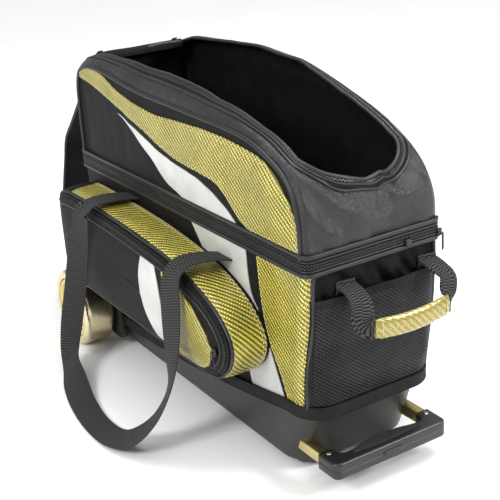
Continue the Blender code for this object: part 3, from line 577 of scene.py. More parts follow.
FABRIC = woven("black_fabric", "black_fabric", (0.002, 0.002, 0.002), (0.010, 0.010, 0.010), 0.0012,
               0.55)
LINING = woven("lining", "lining", (0.004, 0.004, 0.004), (0.014, 0.014, 0.015), 0.0007, 0.6)
TAPE = woven("zip_tape", "zip_tape", (0.003, 0.003, 0.003), (0.014, 0.014, 0.014), 0.0016, 0.5)
BINDING = woven("binding", "webbing", (0.003, 0.003, 0.003), (0.028, 0.028, 0.027), 0.0034, 0.6)
WEBBING = webbing()
MESH = mesh_cloth()
# Gold colour stops (low, middle, high): low is painted shade in the rib grooves and high a painted highlight on the
# rib tops. The sleeve's stops lie closer together.
GOLD_VINYL = gold_vinyl("gold_vinyl", (0.080, 0.066, 0.005), (0.370, 0.315, 0.032),
                        (0.820, 0.725, 0.160), 0.0020)
SLEEVE = gold_vinyl("gold_vinyl_sleeve", (0.230, 0.185, 0.040), (0.320, 0.265, 0.070),
                    (0.420, 0.360, 0.120), 0.0003)
SILVER = silver_vinyl()
VINYL = black_vinyl()
BASE = moulded("base_plastic", "base_plastic", (0.010, 0.010, 0.009), (0.020, 0.019, 0.018),
               0.34, 0.46)
GRIP = moulded("grip_plastic", "grip_plastic", (0.007, 0.007, 0.007), (0.016, 0.016, 0.016),
               0.24, 0.38)
COIL = moulded("zip_coil", "zip_metal", (0.006, 0.006, 0.007), (0.022, 0.022, 0.024), 0.34, 0.46)
PIPING = moulded("piping", "black_vinyl", (0.004, 0.004, 0.004), (0.012, 0.012, 0.012), 0.38, 0.52,
                 900.0, 0.0004)
CHROME = metal("gold_chrome", "gold_chrome", (0.62, 0.50, 0.19), (0.80, 0.68, 0.33), 0.07, 0.16)
TREAD = metal("gold_tread", "gold_tread", (0.62, 0.53, 0.32), (0.84, 0.75, 0.50), 0.17, 0.30)
TUBE = metal("gold_tube", "gold_tube", (0.60, 0.49, 0.20), (0.78, 0.66, 0.32), 0.18, 0.32,
             (0.03, 1.0, 1.0))
STEEL = metal("steel", "steel", (0.42, 0.42, 0.42), (0.62, 0.62, 0.61), 0.18, 0.36)
PAD = pebbled()
FOAM = foam()
THREAD = thread()


# --- fabric body ------------------------------------------------------------------------------------------
def hem_height(x):
    """The hem where the fabric meets the tray climbs from the wheels to the tow handle."""
    run = x + 0.35
    return min(0.0595 + 0.030 * run + 0.118 * run * run, 0.132)


def plan(half_x, half_y, corner, side_count=64, end_count=22, corner_count=9):
    """A rounded rectangle from the middle of the back, over the wheel end: (point, outward)."""
    made = []
    straight_x, straight_y = half_x - corner, half_y - corner
    for k in range(side_count // 2):
        made.append(((-straight_x * 2 * k / side_count, half_y), (0, 1)))
    for sign_x, sign_y, first in ((-1, 1, 90), (-1, -1, 180), (1, -1, 270), (1, 1, 0)):
        for k in range(corner_count + 1):
            angle = math.radians(first + 90 * k / corner_count)
            out = (math.cos(angle), math.sin(angle))
            made.append(((sign_x * straight_x + corner * out[0],
                          sign_y * straight_y + corner * out[1]), out))
        if (sign_x, sign_y) == (-1, 1):
            made += [((-half_x, straight_y * (1 - 2 * k / end_count)), (-1, 0))
                     for k in range(1, end_count)]
        if (sign_x, sign_y) == (-1, -1):
            made += [((straight_x * (2 * k / side_count - 1), -half_y), (0, -1))
                     for k in range(1, side_count)]
        if (sign_x, sign_y) == (1, -1):
            made += [((half_x, straight_y * (2 * k / end_count - 1)), (1, 0))
                     for k in range(1, end_count)]
        if (sign_x, sign_y) == (1, 1):
            made += [((straight_x * (1 - 2 * k / side_count), half_y), (0, 1))
                     for k in range(side_count // 2)]
    return [Vector((x, y, 0)) for (x, y), _ in made], [Vector((a, b, 0)) for _, (a, b) in made]


def body_plan(lift, offset=0.0):
    """The fabric body's outline, from the hem (lift 0) to the zip (lift 1)."""
    return plan(HALF_LENGTH - 0.008 * (1 - lift) + offset, HALF_WIDTH - 0.002 * (1 - lift) + offset,
                0.046 - 0.034 * lift + offset, end_count=44)


def body_shell():
    """Padded walls of the ball compartment, crumpled above the mesh pocket."""
    rows, us = [], []
    lifts = [0.70 * i / 18 for i in range(18)] + [0.70 + 0.30 * i / 24 for i in range(25)]
    for lift in lifts:
        points, outs = body_plan(lift)
        row = []
        for p, out in zip(points, outs):
            hem = hem_height(p.x)
            z = hem + (SPLIT_Z - 0.0005 - hem) * lift
            belly = math.sin(math.pi * lift)
            swell = 0.0016 * belly + ripple((p.x, p.y, z), 9.0, 0.0016, 3.0) * belly
            crumple = smoothstep((out.x - 0.96) * 25) * smoothstep((HALF_WIDTH - 0.014 - abs(p.y)) / 0.02)
            crumple *= smoothstep((z - 0.315) / 0.012) * smoothstep((0.369 - z) / 0.012)
            folds = ripple((0.0, p.y * 2.6 + 1.4 * z, z * 0.9), 24.0, 0.0150, 9.0)
            swell += crumple * (folds + 0.0010)
            row.append(Vector((p.x, p.y, z)) + out * swell)
        rows.append(row)
        us.append(0.32 * lift)
    shape = Shape()
    shape.grid(rows, us + [0.33], close_cols=True)
    return shape


SHELL = body_shell()
SHELL_TREE = SHELL.tree()


def thicken(obj, thickness):
    """Give a sheet its cloth thickness inwards, lined on the inside."""
    solid = obj.modifiers.new("padding", "SOLIDIFY")
    solid.thickness = thickness
    solid.offset = -1.0
    solid.material_offset = 1
    return obj


def stripe(name, corners, steps, surface, material, body, lift=0.0015, stitched=0.0035,
           spacing=0.0085):
    """An overlay panel from a few outline points, with its edge stitching."""
    outline = [(p.x, p.y) for p in smooth_stretches(corners, steps)]

    def raised(x, z):
        point, normal = surface(x, z)
        return point + normal * lift, normal
    obj = laid(outline, raised, spacing, lift * 1.5).build(name, material, body)
    if stitched:
        seam = Shape()
        line, normals = along_surface(inset(outline, stitched), raised)
        stitches(seam, line, normals, closed=True)
        seam.build(name + "_stitching", THREAD, body)
    return obj


def smooth_stretches(stretches, steps):
    """A closed outline from stretches of (x, z) points; each stretch is smooth, corners are sharp."""
    outline = []
    for points in stretches:
        line = smooth_line([(x, z, 0) for x, z in points], steps)
        spaced, _ = resample(line, line, 0.0055)
        outline += spaced[:-1]
    return outline


def body_panels():
    """Silver and gold panels on both long faces, running down to the hem."""
    for side, word in SIDES:
        surface = on_tree(SHELL_TREE, side)
        silver = (((0.050, 0.368), (0.223, 0.368)),
                  ((0.223, 0.368), (0.229, 0.299), (0.257, 0.262), (0.278, 0.214), (0.309, 0.136)),
                  ((0.309, 0.136), (0.265, 0.124), (0.215, 0.116)),
                  ((0.215, 0.116), (0.190, 0.200), (0.110, 0.300), (0.050, 0.368)))
        gold = (((0.254, 0.368), (0.386, 0.370)),
                ((0.386, 0.370), (0.377, 0.284), (0.362, 0.200), (0.355, 0.142)),
                ((0.355, 0.142), (0.319, 0.138)),
                ((0.319, 0.138), (0.303, 0.180), (0.277, 0.232), (0.261, 0.292), (0.254, 0.368)))
        stripe("body_silver_" + word, silver, 5, surface, SILVER, "root", stitched=0.0)
        stripe("body_gold_" + word, gold, 5, surface, GOLD_VINYL, "root", spacing=0.0045)
        piping = Shape()
        edge = smooth_line(((0.3868, 0.372, 0), (0.380, 0.284, 0), (0.366, 0.200, 0),
                            (0.359, 0.140, 0)), 14)
        line, normals = along_surface([(p.x, p.y) for p in edge], surface, 0.0012)
        sweep(piping, line, normals, circle(0.0034, 10))
        piping.build("corner_piping_" + word, PIPING)


def hem():
    """Ribbed binding over the seam between fabric and tray."""
    points, outs = plan(HALF_LENGTH - 0.008, HALF_WIDTH - 0.002, 0.046)
    line = [Vector((p.x, p.y, hem_height(p.x) + 0.001)) + out * 0.0034 for p, out in zip(points, outs)]
    shape = Shape()
    sweep(shape, line, outs, rounded_bar(0.0112, 0.0017, 0.0013), closed=True)
    shape.build("hem_ribbed_binding", BINDING, "root", ("hem_binding",))
    for rise in (-0.0085, 0.0105):
        seam = Shape()
        row = [p + Vector((0, 0, rise)) + out * 0.0017 for p, out in zip(line, outs)]
        stitches(seam, row, outs, 0.0052, 0.0005, closed=True)
        seam.build("hem_stitching_" + ("low" if rise < 0 else "high"), BINDING)


# --- main zip ---------------------------------------------------------------------------------------------
def band_line(z, offset):
    """A line round the front and both ends at a height, with its outward directions."""
    points, outs = body_plan(1.0, offset)
    count = len(points)
    start = next(i for i, p in enumerate(points) if p.x < 0 and p.y < HALF_WIDTH - 0.010 + offset)
    end = max(i for i, p in enumerate(points) if p.x > 0 and p.y < HALF_WIDTH - 0.001 + offset)
    keep = range(start, min(end, count - 1) + 1)
    return [Vector((points[i].x, points[i].y, z)) for i in keep], [outs[i] for i in keep]


def zip_band():
    """Rolled cords, tapes and teeth of the main zip; the upper half lifts with the lid."""
    for word, sign, body, node in (("lower", -1, "root", "zip_band_lower"),
                                   ("upper", 1, "lid", "zip_band_upper")):
        tape = Shape()
        line, outs = band_line(SPLIT_Z + sign * 0.0080, 0.0018)
        sweep(tape, line, outs, rounded_bar(0.0074, 0.0014, 0.0009))
        tape.build(f"zip_tape_{word}", TAPE, body, (node,))
        cord = Shape()
        line, outs = band_line(SPLIT_Z + sign * 0.0145, 0.0024)
        sweep(cord, line, outs, rounded_bar(0.0036, 0.0026, 0.0022, 4))
        line, outs = band_line(SPLIT_Z + sign * 0.0072, 0.0030)
        sweep(cord, line, outs, circle(0.0014, 8))
        cord.build(f"zip_cord_{word}", PIPING, body)
        row = Shape()
        line, outs = band_line(SPLIT_Z + sign * 0.0022, 0.0030)
        teeth(row, line, outs, width=0.0038, height=0.0015)
        row.build(f"zip_teeth_{word}", COIL, body)


# --- lid --------------------------------------------------------------------------------------------------
LID_FRONT = ((-0.387, 0.3870), (-0.384, 0.500), (-0.374, 0.553), (-0.345, 0.582),
             (-0.270, 0.591), (-0.110, 0.575), (0.050, 0.570), (0.228, 0.564),
             (0.310, 0.543), (0.364, 0.510), (0.385, 0.455), (0.387, 0.3870))
LID_BACK = ((-0.387, 0.3870), (-0.384, 0.500), (-0.374, 0.555), (-0.345, 0.584),
            (-0.250, 0.595), (-0.060, 0.592), (0.090, 0.582), (0.210, 0.560),
            (0.292, 0.532), (0.350, 0.494), (0.381, 0.445), (0.387, 0.3870))
LID_CROWN = (0.0, 0.001, 0.001, 0.002, 0.010, 0.028, 0.026, 0.004, 0.003, 0.004, 0.003, 0.0)
LID_EDGE = 0.012
OPENING_HALF_WIDTH = 0.096
OPENING_LEAN = math.radians(27)
OUT = Vector((math.sin(OPENING_LEAN), 0, math.cos(OPENING_LEAN)))
RUN = Vector((math.cos(OPENING_LEAN), 0, -math.sin(OPENING_LEAN)))


def lid_columns():
    """Positions across the lid, closer together where its edges turn over."""
    edge = 1 - LID_EDGE / HALF_WIDTH
    turn = [edge + (1 - edge) * math.sin(math.radians(90 * k / 7)) for k in range(8)]
    middle = [edge * k / 13 for k in range(-12, 13)]
    return [-t for t in reversed(turn)] + middle + turn


def lid_rows(shrink=0.0):
    """Rows of skin points over the lid, from the wheel end to the tow end."""
    steps = 11
    front = smooth_line([(x, z, 0) for x, z in LID_FRONT], steps)
    back = smooth_line([(x, z, 0) for x, z in LID_BACK], steps)
    crown = smooth_line([(c, 0, 0) for c in LID_CROWN], steps)
    rows = []
    last = len(front) - 1
    for i in range(last + 1):
        before, after = max(i - 1, 0), min(i + 1, last)
        ahead = (front[after] - front[before] + back[after] - back[before]).normalized()
        normal = Vector((-ahead.y, ahead.x, 0))
        if i in (0, last):
            normal = Vector((-1 if i == 0 else 1, 0, 0))
        row = []
        for across in lid_columns():
            y = HALF_WIDTH * across
            past = max(abs(y) - (HALF_WIDTH - LID_EDGE), 0.0)
            turn = LID_EDGE - math.sqrt(max(LID_EDGE ** 2 - past ** 2, 0.0))
            spot = front[i].lerp(back[i], (across + 1) / 2)
            free = smoothstep((1 - abs(across)) / 0.2) * smoothstep(min(i, last - i) / 7)
            soft = ripple((spot.x, y, spot.y), 13.0, 0.0040, 2.0) * free
            soft += ripple((spot.x * 1.6, y * 0.7, spot.y), 30.0, 0.0018, 5.0) * free
            tow = smoothstep((spot.x - 0.30) / 0.05) * free
            fold = ripple((0.0, y * 1.3 + 0.5 * spot.y, spot.y * 0.9), 14.0, 1.0, 31.0)
            soft += tow * 0.020 * (0.30 - abs(fold))
            sag = 0.010 * free * smoothstep((-0.355 - spot.x) / 0.025)
            rise = crown[i].x * (1 - abs(across) ** 6) - turn + soft - sag - shrink
            spot = spot + normal * rise
            row.append(Vector((spot.x, y, max(spot.y, SPLIT_Z + 0.0005))))
        rows.append(row)
    return rows


def lid_skin():
    """The lid's curved top and ends as an open sheet."""
    shape = Shape()
    rows = [row[::-1] for row in lid_rows()]
    shape.grid(rows, [0.008 * i for i in range(len(rows))],
               [-HALF_WIDTH * t for t in lid_columns()] + [-HALF_WIDTH])
    return shape


SKIN = lid_skin()
SKIN_TREE = SKIN.tree()


def opening_outline(grow):
    """Tongue-shaped opening in the slanted frame: square at the wheels, round at the tow end."""
    start = Vector((-0.331, 0, 0.598)).dot(RUN) - grow
    end = Vector((0.374, 0, 0.497)).dot(RUN) + grow
    half = OPENING_HALF_WIDTH + grow
    reach = 0.62 * half
    points = [(start, half * (1 - k / 8)) for k in range(17)]
    points += [(start + (end - reach - start) * k / 40, -half) for k in range(1, 40)]
    for k in range(25):
        angle = math.radians(-90 + 7.5 * k)
        points.append((end - reach + reach * math.cos(angle), half * math.sin(angle)))
    points += [(start + (end - reach - start) * k / 40, half) for k in range(39, 0, -1)]
    return points


def on_skin(u, y, lift=0.0):
    """A point of the slanted frame dropped on the lid's skin, with the skin's normal."""
    start = RUN * u + OUT * 0.9 + Vector((0, y, 0))
    hit, normal, _, _ = SKIN_TREE.ray_cast(start, -OUT)
    if hit is None:
        hit, normal, _, _ = SKIN_TREE.find_nearest(RUN * u + OUT * 0.5 + Vector((0, y, 0)))
    normal = normal if normal.dot(OUT) > 0 else -normal
    return hit + normal * lift, normal


def lid_top():
    """Soft vinyl top with the opening cut out of it, lined inside."""
    obj = SKIN.build("lid_vinyl_top", VINYL, "lid", ("lid_shell",), inside=LINING)
    thicken(obj, 0.0028)
    cutter = Shape()
    rings = [[RUN * u + OUT * height + Vector((0, y, 0)) for u, y in opening_outline(0.0)]
             for height in (0.34, 0.80)]
    count = len(rings[0])
    first = cutter.grid(rings, close_cols=True)
    cutter.cap(first, count, backwards=True)
    cutter.cap(first + count, count)
    tool = cutter.build("opening_cutter", LINING, "lid")
    tool.hide_render = True
    tool.display_type = "WIRE"
    cut = obj.modifiers.new("opening", "BOOLEAN")
    cut.operation = "DIFFERENCE"
    cut.solver = "EXACT"
    cut.object = tool


def ring_on_skin(grow, lift, closed=False):
    """A line on the skin round the opening; open lines leave out the square end."""
    outline = opening_outline(grow)
    found = [on_skin(u, y, lift) for u, y in (outline if closed else outline[16:] + outline[:1])]
    return [p for p, _ in found], [n for _, n in found]


def opening_trim():
    """Bound edge, tape, glossy coil and outer cord round the shoe opening."""
    edge = Shape()
    line, ups = ring_on_skin(0.0, 0.0002, closed=True)
    sweep(edge, line, ups, circle(0.0036, 10), closed=True)
    edge.build("opening_bound_edge", PIPING, "lid")
    tape = Shape()
    line, ups = ring_on_skin(0.0080, 0.0009)
    sweep(tape, line, ups, rounded_bar(0.0062, 0.0007, 0.0006))
    tape.build("opening_zip_tape", TAPE, "lid", ("opening_zip",))
    coil = Shape()
    line, ups = ring_on_skin(0.0044, 0.0016)
    teeth(coil, line, ups, width=0.0036, height=0.0017)
    coil.build("opening_zip_coil", COIL, "lid")
    cord = Shape()
    for grow in (0.0080, 0.0150):
        line, ups = ring_on_skin(grow, 0.0016)
        sweep(cord, line, ups, circle(0.0023, 8))
    cord.build("opening_cords", PIPING, "lid")


def lid_side_surface(side, rim):
    """Surface of a lid's long face: a shallow cushion tied down along its seam."""
    xs = [p.x for p in rim]

    def top(x):
        for a, b in zip(rim, rim[1:]):
            if a.x <= x <= b.x:
                return a.z + (b.z - a.z) * (x - a.x) / max(b.x - a.x, 1e-9)
        return rim[0].z

    def surface(x, z):
        room = min(top(x) - z, x - min(xs), max(xs) - x, z - SPLIT_Z)
        tied = smoothstep(room / 0.05)
        slump = smoothstep((-0.300 - x) / 0.07) * smoothstep((0.56 - z) / 0.10)
        out = 0.0030 * tied + ripple((x, 0, z), 8.0, 0.0034, 11.0 * side) * tied
        out += ripple((x * 1.5, 0, z * 0.8), 21.0, 0.0014, 4.0) * tied
        out -= 0.0075 * slump * tied
        return Vector((x, side * (HALF_WIDTH + out), z)), Vector((0, side, 0))
    return surface


GOLD_TOP = ((-0.341, 0.574), (-0.259, 0.573), (-0.181, 0.549), (-0.063, 0.535), (0.024, 0.537),
            (0.129, 0.540), (0.224, 0.536), (0.297, 0.524), (0.345, 0.488), (0.368, 0.450),
            (0.375, 0.399))
GOLD_BOTTOM = ((0.250, 0.399), (0.214, 0.413), (0.163, 0.452), (0.117, 0.463), (0.011, 0.471),
               (-0.099, 0.499), (-0.161, 0.513), (-0.277, 0.541), (-0.358, 0.553))
SILVER_TOP = ((-0.195, 0.510), (-0.133, 0.495), (-0.018, 0.466), (0.089, 0.452), (0.162, 0.428),
              (0.206, 0.399))
SILVER_BOTTOM = ((0.040, 0.399), (0.017, 0.408), (-0.027, 0.421), (-0.063, 0.447), (-0.108, 0.470),
                 (-0.153, 0.495), (-0.195, 0.510))


def lid_sides():
    """Long faces of the lid with their gold and silver swooshes and piped seams."""
    rows = lid_rows()
    for side, word in SIDES:
        rim = [row[0] if side == FRONT else row[-1] for row in rows]
        rim = [p for p in rim if p.z > SPLIT_Z + 0.003]
        outline = [(p.x, p.z) for p in rim]
        low = SPLIT_Z + 0.0010
        count = 110
        outline += [(rim[-1].x + (rim[0].x - rim[-1].x) * k / count, low)
                    for k in range(count + 1)]
        surface = lid_side_surface(side, rim)
        shape = laid(outline, surface, 0.0085)
        tree = shape.tree()
        face = shape.build("lid_face_" + word, FABRIC, "lid", inside=LINING)
        thicken(face, 0.0026 if side == FRONT else -0.0026)
        gold = (GOLD_TOP, (GOLD_TOP[-1], GOLD_BOTTOM[0]), GOLD_BOTTOM,
                (GOLD_BOTTOM[-1], (-0.357, 0.566), GOLD_TOP[0]))
        silver = (SILVER_TOP, (SILVER_TOP[-1], SILVER_BOTTOM[0]), SILVER_BOTTOM)
        stripe("lid_gold_" + word, gold, 6, on_tree(tree, side), GOLD_VINYL, "lid")
        stripe("lid_silver_" + word, silver, 6, on_tree(tree, side), SILVER, "lid", stitched=0.0)
        double = Shape()
        edge = [(p.x, p.y) for p in smooth_stretches(gold, 6)]
        line, normals = along_surface(inset(edge, 0.0075), on_tree(tree, side, 0.0015))
        stitches(double, line, normals, closed=True)
        double.build("lid_gold_second_row_" + word, THREAD, "lid")
        piping = Shape()
        spaced, _ = resample([Vector(p) for p in rim], [Vector(p) for p in rim], 0.006)
        line = [p + Vector((0, side * 0.0008, 0)) for p in spaced]
        sweep(piping, line, [Vector((0, side, 0))] * len(line), circle(0.0036, 10))
        piping.build("lid_piping_" + word, PIPING, "lid")


def shoe_lining():
    """Quilted lining floor and walls of the shoe compartment."""
    shape = Shape()
    rings = []
    for inset_by, z in ((0.006, 0.448), (0.004, 0.420), (0.0035, 0.398), (0.010, 0.3925),
                        (0.030, 0.3925), (0.060, 0.3930), (0.090, 0.3930), (0.112, 0.3930)):
        points, _ = plan(0.3805 - inset_by, 0.1215 - inset_by, max(0.022 - inset_by / 6, 0.004),
                         40, 12, 5)
        rings.append([Vector((p.x, p.y, z + ripple(p, 22.0, 0.0012, 7.0))) for p in points])
    first = shape.grid(rings, close_cols=True)
    count = len(rings[0])
    shape.cap(first + (len(rings) - 1) * count, count)
    shape.build("shoe_lining", LINING, "lid", ("shoe_tray",))


# --- accessory pockets ----------------------------------------------------------------------------------
POCKET_CORNERS = ((-0.374, 0.230), (-0.368, 0.315), (-0.335, 0.346), (-0.180, 0.348),
                  (0.000, 0.340), (0.130, 0.322), (0.222, 0.290), (0.270, 0.250), (0.276, 0.214),
                  (0.250, 0.178), (0.200, 0.158), (0.000, 0.1545), (-0.200, 0.1545),
                  (-0.340, 0.1555), (-0.368, 0.178))
POCKET_SPINE = ((-0.290, 0.250), (0.190, 0.232))
POCKET_STEPS = 10
# how far the outline draws in to its spine, against the distance from the bag's middle
POCKET_PROFILE = ((0.0, 0.1262), (0.0, 0.145), (0.0, 0.166), (0.012, 0.181), (0.045, 0.1905),
                  (0.10, 0.1965), (0.17, 0.2000), (0.25, 0.2026), (0.40, 0.2052), (0.60, 0.2072),
                  (0.80, 0.2080), (0.96, 0.2082))


def pocket_ring(shrink):
    """The pocket's outline drawn in to its spine, as (x, z) vectors."""
    line = smooth_line([(x, z, 0) for x, z in POCKET_CORNERS], POCKET_STEPS, closed=True)
    (x0, z0), (x1, z1) = POCKET_SPINE
    made = []
    for p in line:
        along = min(max((p.x - x0) / (x1 - x0), 0.0), 1.0)
        spine = Vector((x0 + (x1 - x0) * along, z0 + (z1 - z0) * along, 0))
        made.append(p.lerp(spine, shrink))
    return made


def pocket_rows(side):
    """Rings of the pocket's skin from the wall to the middle of its face, softly creased."""
    profile = smooth_line([(s, y, 0) for s, y in POCKET_PROFILE], 3)
    rows = []
    for i, spot in enumerate(profile):
        ring = pocket_ring(max(spot.x, 0.0))
        tied = smoothstep(i / 4)
        row = []
        for p in ring:
            on_top = smoothstep((p.y - 0.28) / 0.05)
            crease = ripple((p.x, spot.y * 1.2, p.y * 0.6), 34.0, 0.0030, 21.0) * on_top
            dent = ripple((p.x, spot.y, p.y), 11.0, 0.0024, 6.0)
            gusset = 1 - smoothstep((spot.y - 0.185) / 0.012)
            middle = Vector((p.x, p.y, 0)) - Vector((-0.05, 0.245, 0))
            push = middle.normalized() * (crease + dent * 0.6) * tied * gusset
            face = dent * tied * (1 - gusset) * 0.5
            row.append(Vector((p.x + push.x, side * (spot.y + face), p.y + push.y)))
        rows.append(row)
    return rows


def grid_patch(rows, first_row, last_row, columns, lift, side):
    """An overlay on part of a closed grid, raised and turned in at its rim."""
    def normal_at(i, j):
        width = len(rows[0])
        across = rows[i][(j + 1) % width] - rows[i][j - 1]
        up = rows[min(i + 1, len(rows) - 1)][j % width] - rows[max(i - 1, 0)][j % width]
        normal = across.cross(up).normalized()
        middle = Vector((-0.05, 0, 0.245))
        point = rows[i][j % width]
        outward = Vector((point.x - middle.x, side * 0.06, point.z - middle.z))
        return normal if normal.dot(outward) > 0 else -normal
    width = len(rows[0])
    shape = Shape()
    made, us = [], [0.0]
    for j in columns:
        line = [rows[i][j % width] + normal_at(i, j % width) * lift
                for i in range(first_row, last_row + 1)]
        line = [rows[first_row][j % width]] + line + [rows[last_row][j % width]]
        if made:
            us.append(us[-1] + (line[1] - made[-1][1]).length)
        made.append(line)
    vs = [0.0]
    for a, b in zip(made[0], made[0][1:]):
        vs.append(vs[-1] + (b - a).length)
    shape.grid(made, us + [us[-1]], vs + [vs[-1]])
    edges = []
    for row in (1, len(made[0]) - 2):
        edges.append([line[row] for line in made])
    normals = [normal_at((first_row + last_row) // 2, j % width) for j in columns]
    return shape, edges, normals


def ring_line(tree, side, shrink, columns, lift):
    """A line on the pocket's face at a given draw-in, with its normals."""
    ring = pocket_ring(shrink)
    surface = on_tree(tree, side, lift)
    return along_surface([(ring[j % len(ring)].x, ring[j % len(ring)].y) for j in columns], surface)


def pocket(side, word):
    """A zipped pocket: fabric body, gold gusset, striped face, zip and piping."""
    rows = pocket_rows(side)
    shape = Shape()
    first = shape.grid(rows, close_cols=True)
    shape.cap(first + (len(rows) - 1) * len(rows[0]), len(rows[0]))
    tree = shape.tree()
    body = shape.build("pocket_body_" + word, FABRIC, "root", ("pocket_" + word,), sharp=60)
    gold_columns = range(int(2.25 * POCKET_STEPS), int(9.8 * POCKET_STEPS))
    gusset, edges, normals = grid_patch(rows, 1, 12, gold_columns, 0.0009, side)
    gusset.build("pocket_gusset_" + word, GOLD_VINYL, sharp=60)
    seams = Shape()
    for edge, pull in zip(edges, (1, -1)):
        for offset in (0.0025, 0.0065):
            line = [p + Vector((0, pull * side * offset, 0)) + n * 0.0004
                    for p, n in zip(edge, normals)]
            stitches(seams, line, normals)
    seams.build("pocket_gusset_stitching_" + word, THREAD)
    surface = on_tree(tree, side)
    silver = (((0.004, 0.3160), (0.048, 0.3120)),
              ((0.048, 0.3120), (0.068, 0.265), (0.086, 0.166)),
              ((0.086, 0.166), (0.036, 0.172)),
              ((0.036, 0.172), (0.004, 0.216), (-0.007, 0.264), (0.004, 0.3160)))
    gold = (((0.074, 0.3080), (0.142, 0.2920), (0.202, 0.261), (0.235, 0.222)),
            ((0.235, 0.222), (0.224, 0.194), (0.186, 0.172), (0.112, 0.166)),
            ((0.112, 0.166), (0.098, 0.240), (0.074, 0.3080)))
    stripe("pocket_silver_" + word, silver, 5, surface, SILVER, "root", stitched=0.0)
    stripe("pocket_gold_" + word, gold, 5, surface, GOLD_VINYL, "root")
    zip_columns = range(int(1.5 * POCKET_STEPS), int(9.2 * POCKET_STEPS))
    tape = Shape()
    line, ups = ring_line(tree, side, 0.165, zip_columns, 0.0012)
    sweep(tape, line, ups, rounded_bar(0.0085, 0.0008, 0.0007))
    tape.build("pocket_zip_tape_" + word, TAPE, "root", ("pocket_zip_" + word,))
    coil = Shape()
    line, ups = ring_line(tree, side, 0.165, zip_columns, 0.0019)
    teeth(coil, line, ups, width=0.0042, height=0.0016)
    coil.build("pocket_zip_coil_" + word, COIL)
    cords = Shape()
    whole = range(len(rows[0]))
    line, ups = ring_line(tree, side, 0.060, whole, 0.0008)
    sweep(cords, line, ups, circle(0.0030, 9), closed=True)
    line, ups = ring_line(tree, side, 0.265, zip_columns, 0.0008)
    sweep(cords, line, ups, circle(0.0024, 8))
    cords.build("pocket_piping_" + word, PIPING)
    zip_pull(side, word)


POCKET_SLIDER = (0.243, 0.222)


def zip_pull(side, word):
    """Slider body and a triangular wire pull on a pocket's zip."""
    x, z = POCKET_SLIDER
    slider = Shape()
    low, high = side * 0.2062, side * 0.2112
    line = [Vector((x, low + (high - low) * k / 4, z)) for k in range(5)]
    sweep(slider, line, [Vector((0, 0, 1))] * 5, rounded_bar(0.0050, 0.0070, 0.0020),
          scales=(0.86, 1.0, 1.0, 0.94, 0.72))
    slider.build("pocket_slider_body_" + word, COIL, "root", ("pocket_slider_" + word,))
    pull = Shape()
    y = side * 0.2128
    frame_points = ((x - 0.0022, z), (x + 0.0022, z), (x + 0.0075, z - 0.026),
                    (x - 0.0075, z - 0.026))
    corners = [Vector((a, y, b)) for a, b in frame_points]
    line, ups = resample(corners, corners, 0.0030, closed=True)
    sweep(pull, line, [Vector((0, side, 0))] * len(line), circle(0.0010, 8), closed=True)
    pull.build("pocket_wire_pull_" + word, COIL, word + "_zip_pull", ("pocket_pull_" + word,))


# --- straps -----------------------------------------------------------------------------------------------
STRAP_ROUTE = (
    ((-0.171, -0.1230, 0.3560), (1.0, 0.0, 0.0)),
    ((-0.176, -0.1500, 0.3600), (1.0, 0.0, 0.0)),
    ((-0.183, -0.1770, 0.3605), (1.0, 0.0, 0.0)),
    ((-0.189, -0.1980, 0.3575), (1.0, 0.0, 0.05)),
    ((-0.195, -0.2120, 0.3480), (1.0, 0.0, 0.10)),
    ((-0.204, -0.2195, 0.3310), (1.0, 0.15, 0.15)),
    ((-0.228, -0.2250, 0.2550), (0.88, 0.42, 0.25)),
    ((-0.252, -0.2320, 0.1700), (0.82, 0.56, 0.20)),
    ((-0.266, -0.2430, 0.1000), (0.80, 0.60, 0.10)),
    ((-0.258, -0.2560, 0.0560), (0.78, 0.55, 0.35)),
    ((-0.228, -0.2700, 0.0300), (0.5, 0.55, 0.70)),
    ((-0.180, -0.2840, 0.0150), (0.2, 0.90, 0.35)),
    ((-0.110, -0.3000, 0.0065), (0.1, 1.0, 0.10)),
    ((-0.030, -0.3100, 0.0050), (0.0, 1.0, 0.05)),
    ((0.045, -0.3090, 0.0120), (-0.20, 1.0, 0.22)),
    ((0.096, -0.2930, 0.0330), (-0.45, 0.80, 0.45)),
    ((0.128, -0.2680, 0.0720), (-0.75, 0.60, 0.15)),
    ((0.143, -0.2450, 0.1250), (-0.90, 0.45, -0.10)),
    ((0.143, -0.2330, 0.1900), (-1.0, 0.02, -0.10)),
    ((0.140, -0.2260, 0.2550), (-1.0, -0.20, -0.18)),
    ((0.1380, -0.2210, 0.3040), (-1.0, -0.16, -0.15)),
    ((0.1385, -0.2130, 0.3260), (-1.0, -0.06, -0.05)),
    ((0.1420, -0.1980, 0.3385), (-1.0, 0.0, 0.0)),
    ((0.148, -0.1770, 0.3425), (-1.0, 0.0, 0.0)),
    ((0.154, -0.1500, 0.3410), (-1.0, 0.0, 0.0)),
    ((0.158, -0.1235, 0.3350), (-1.0, 0.0, 0.0)),
)


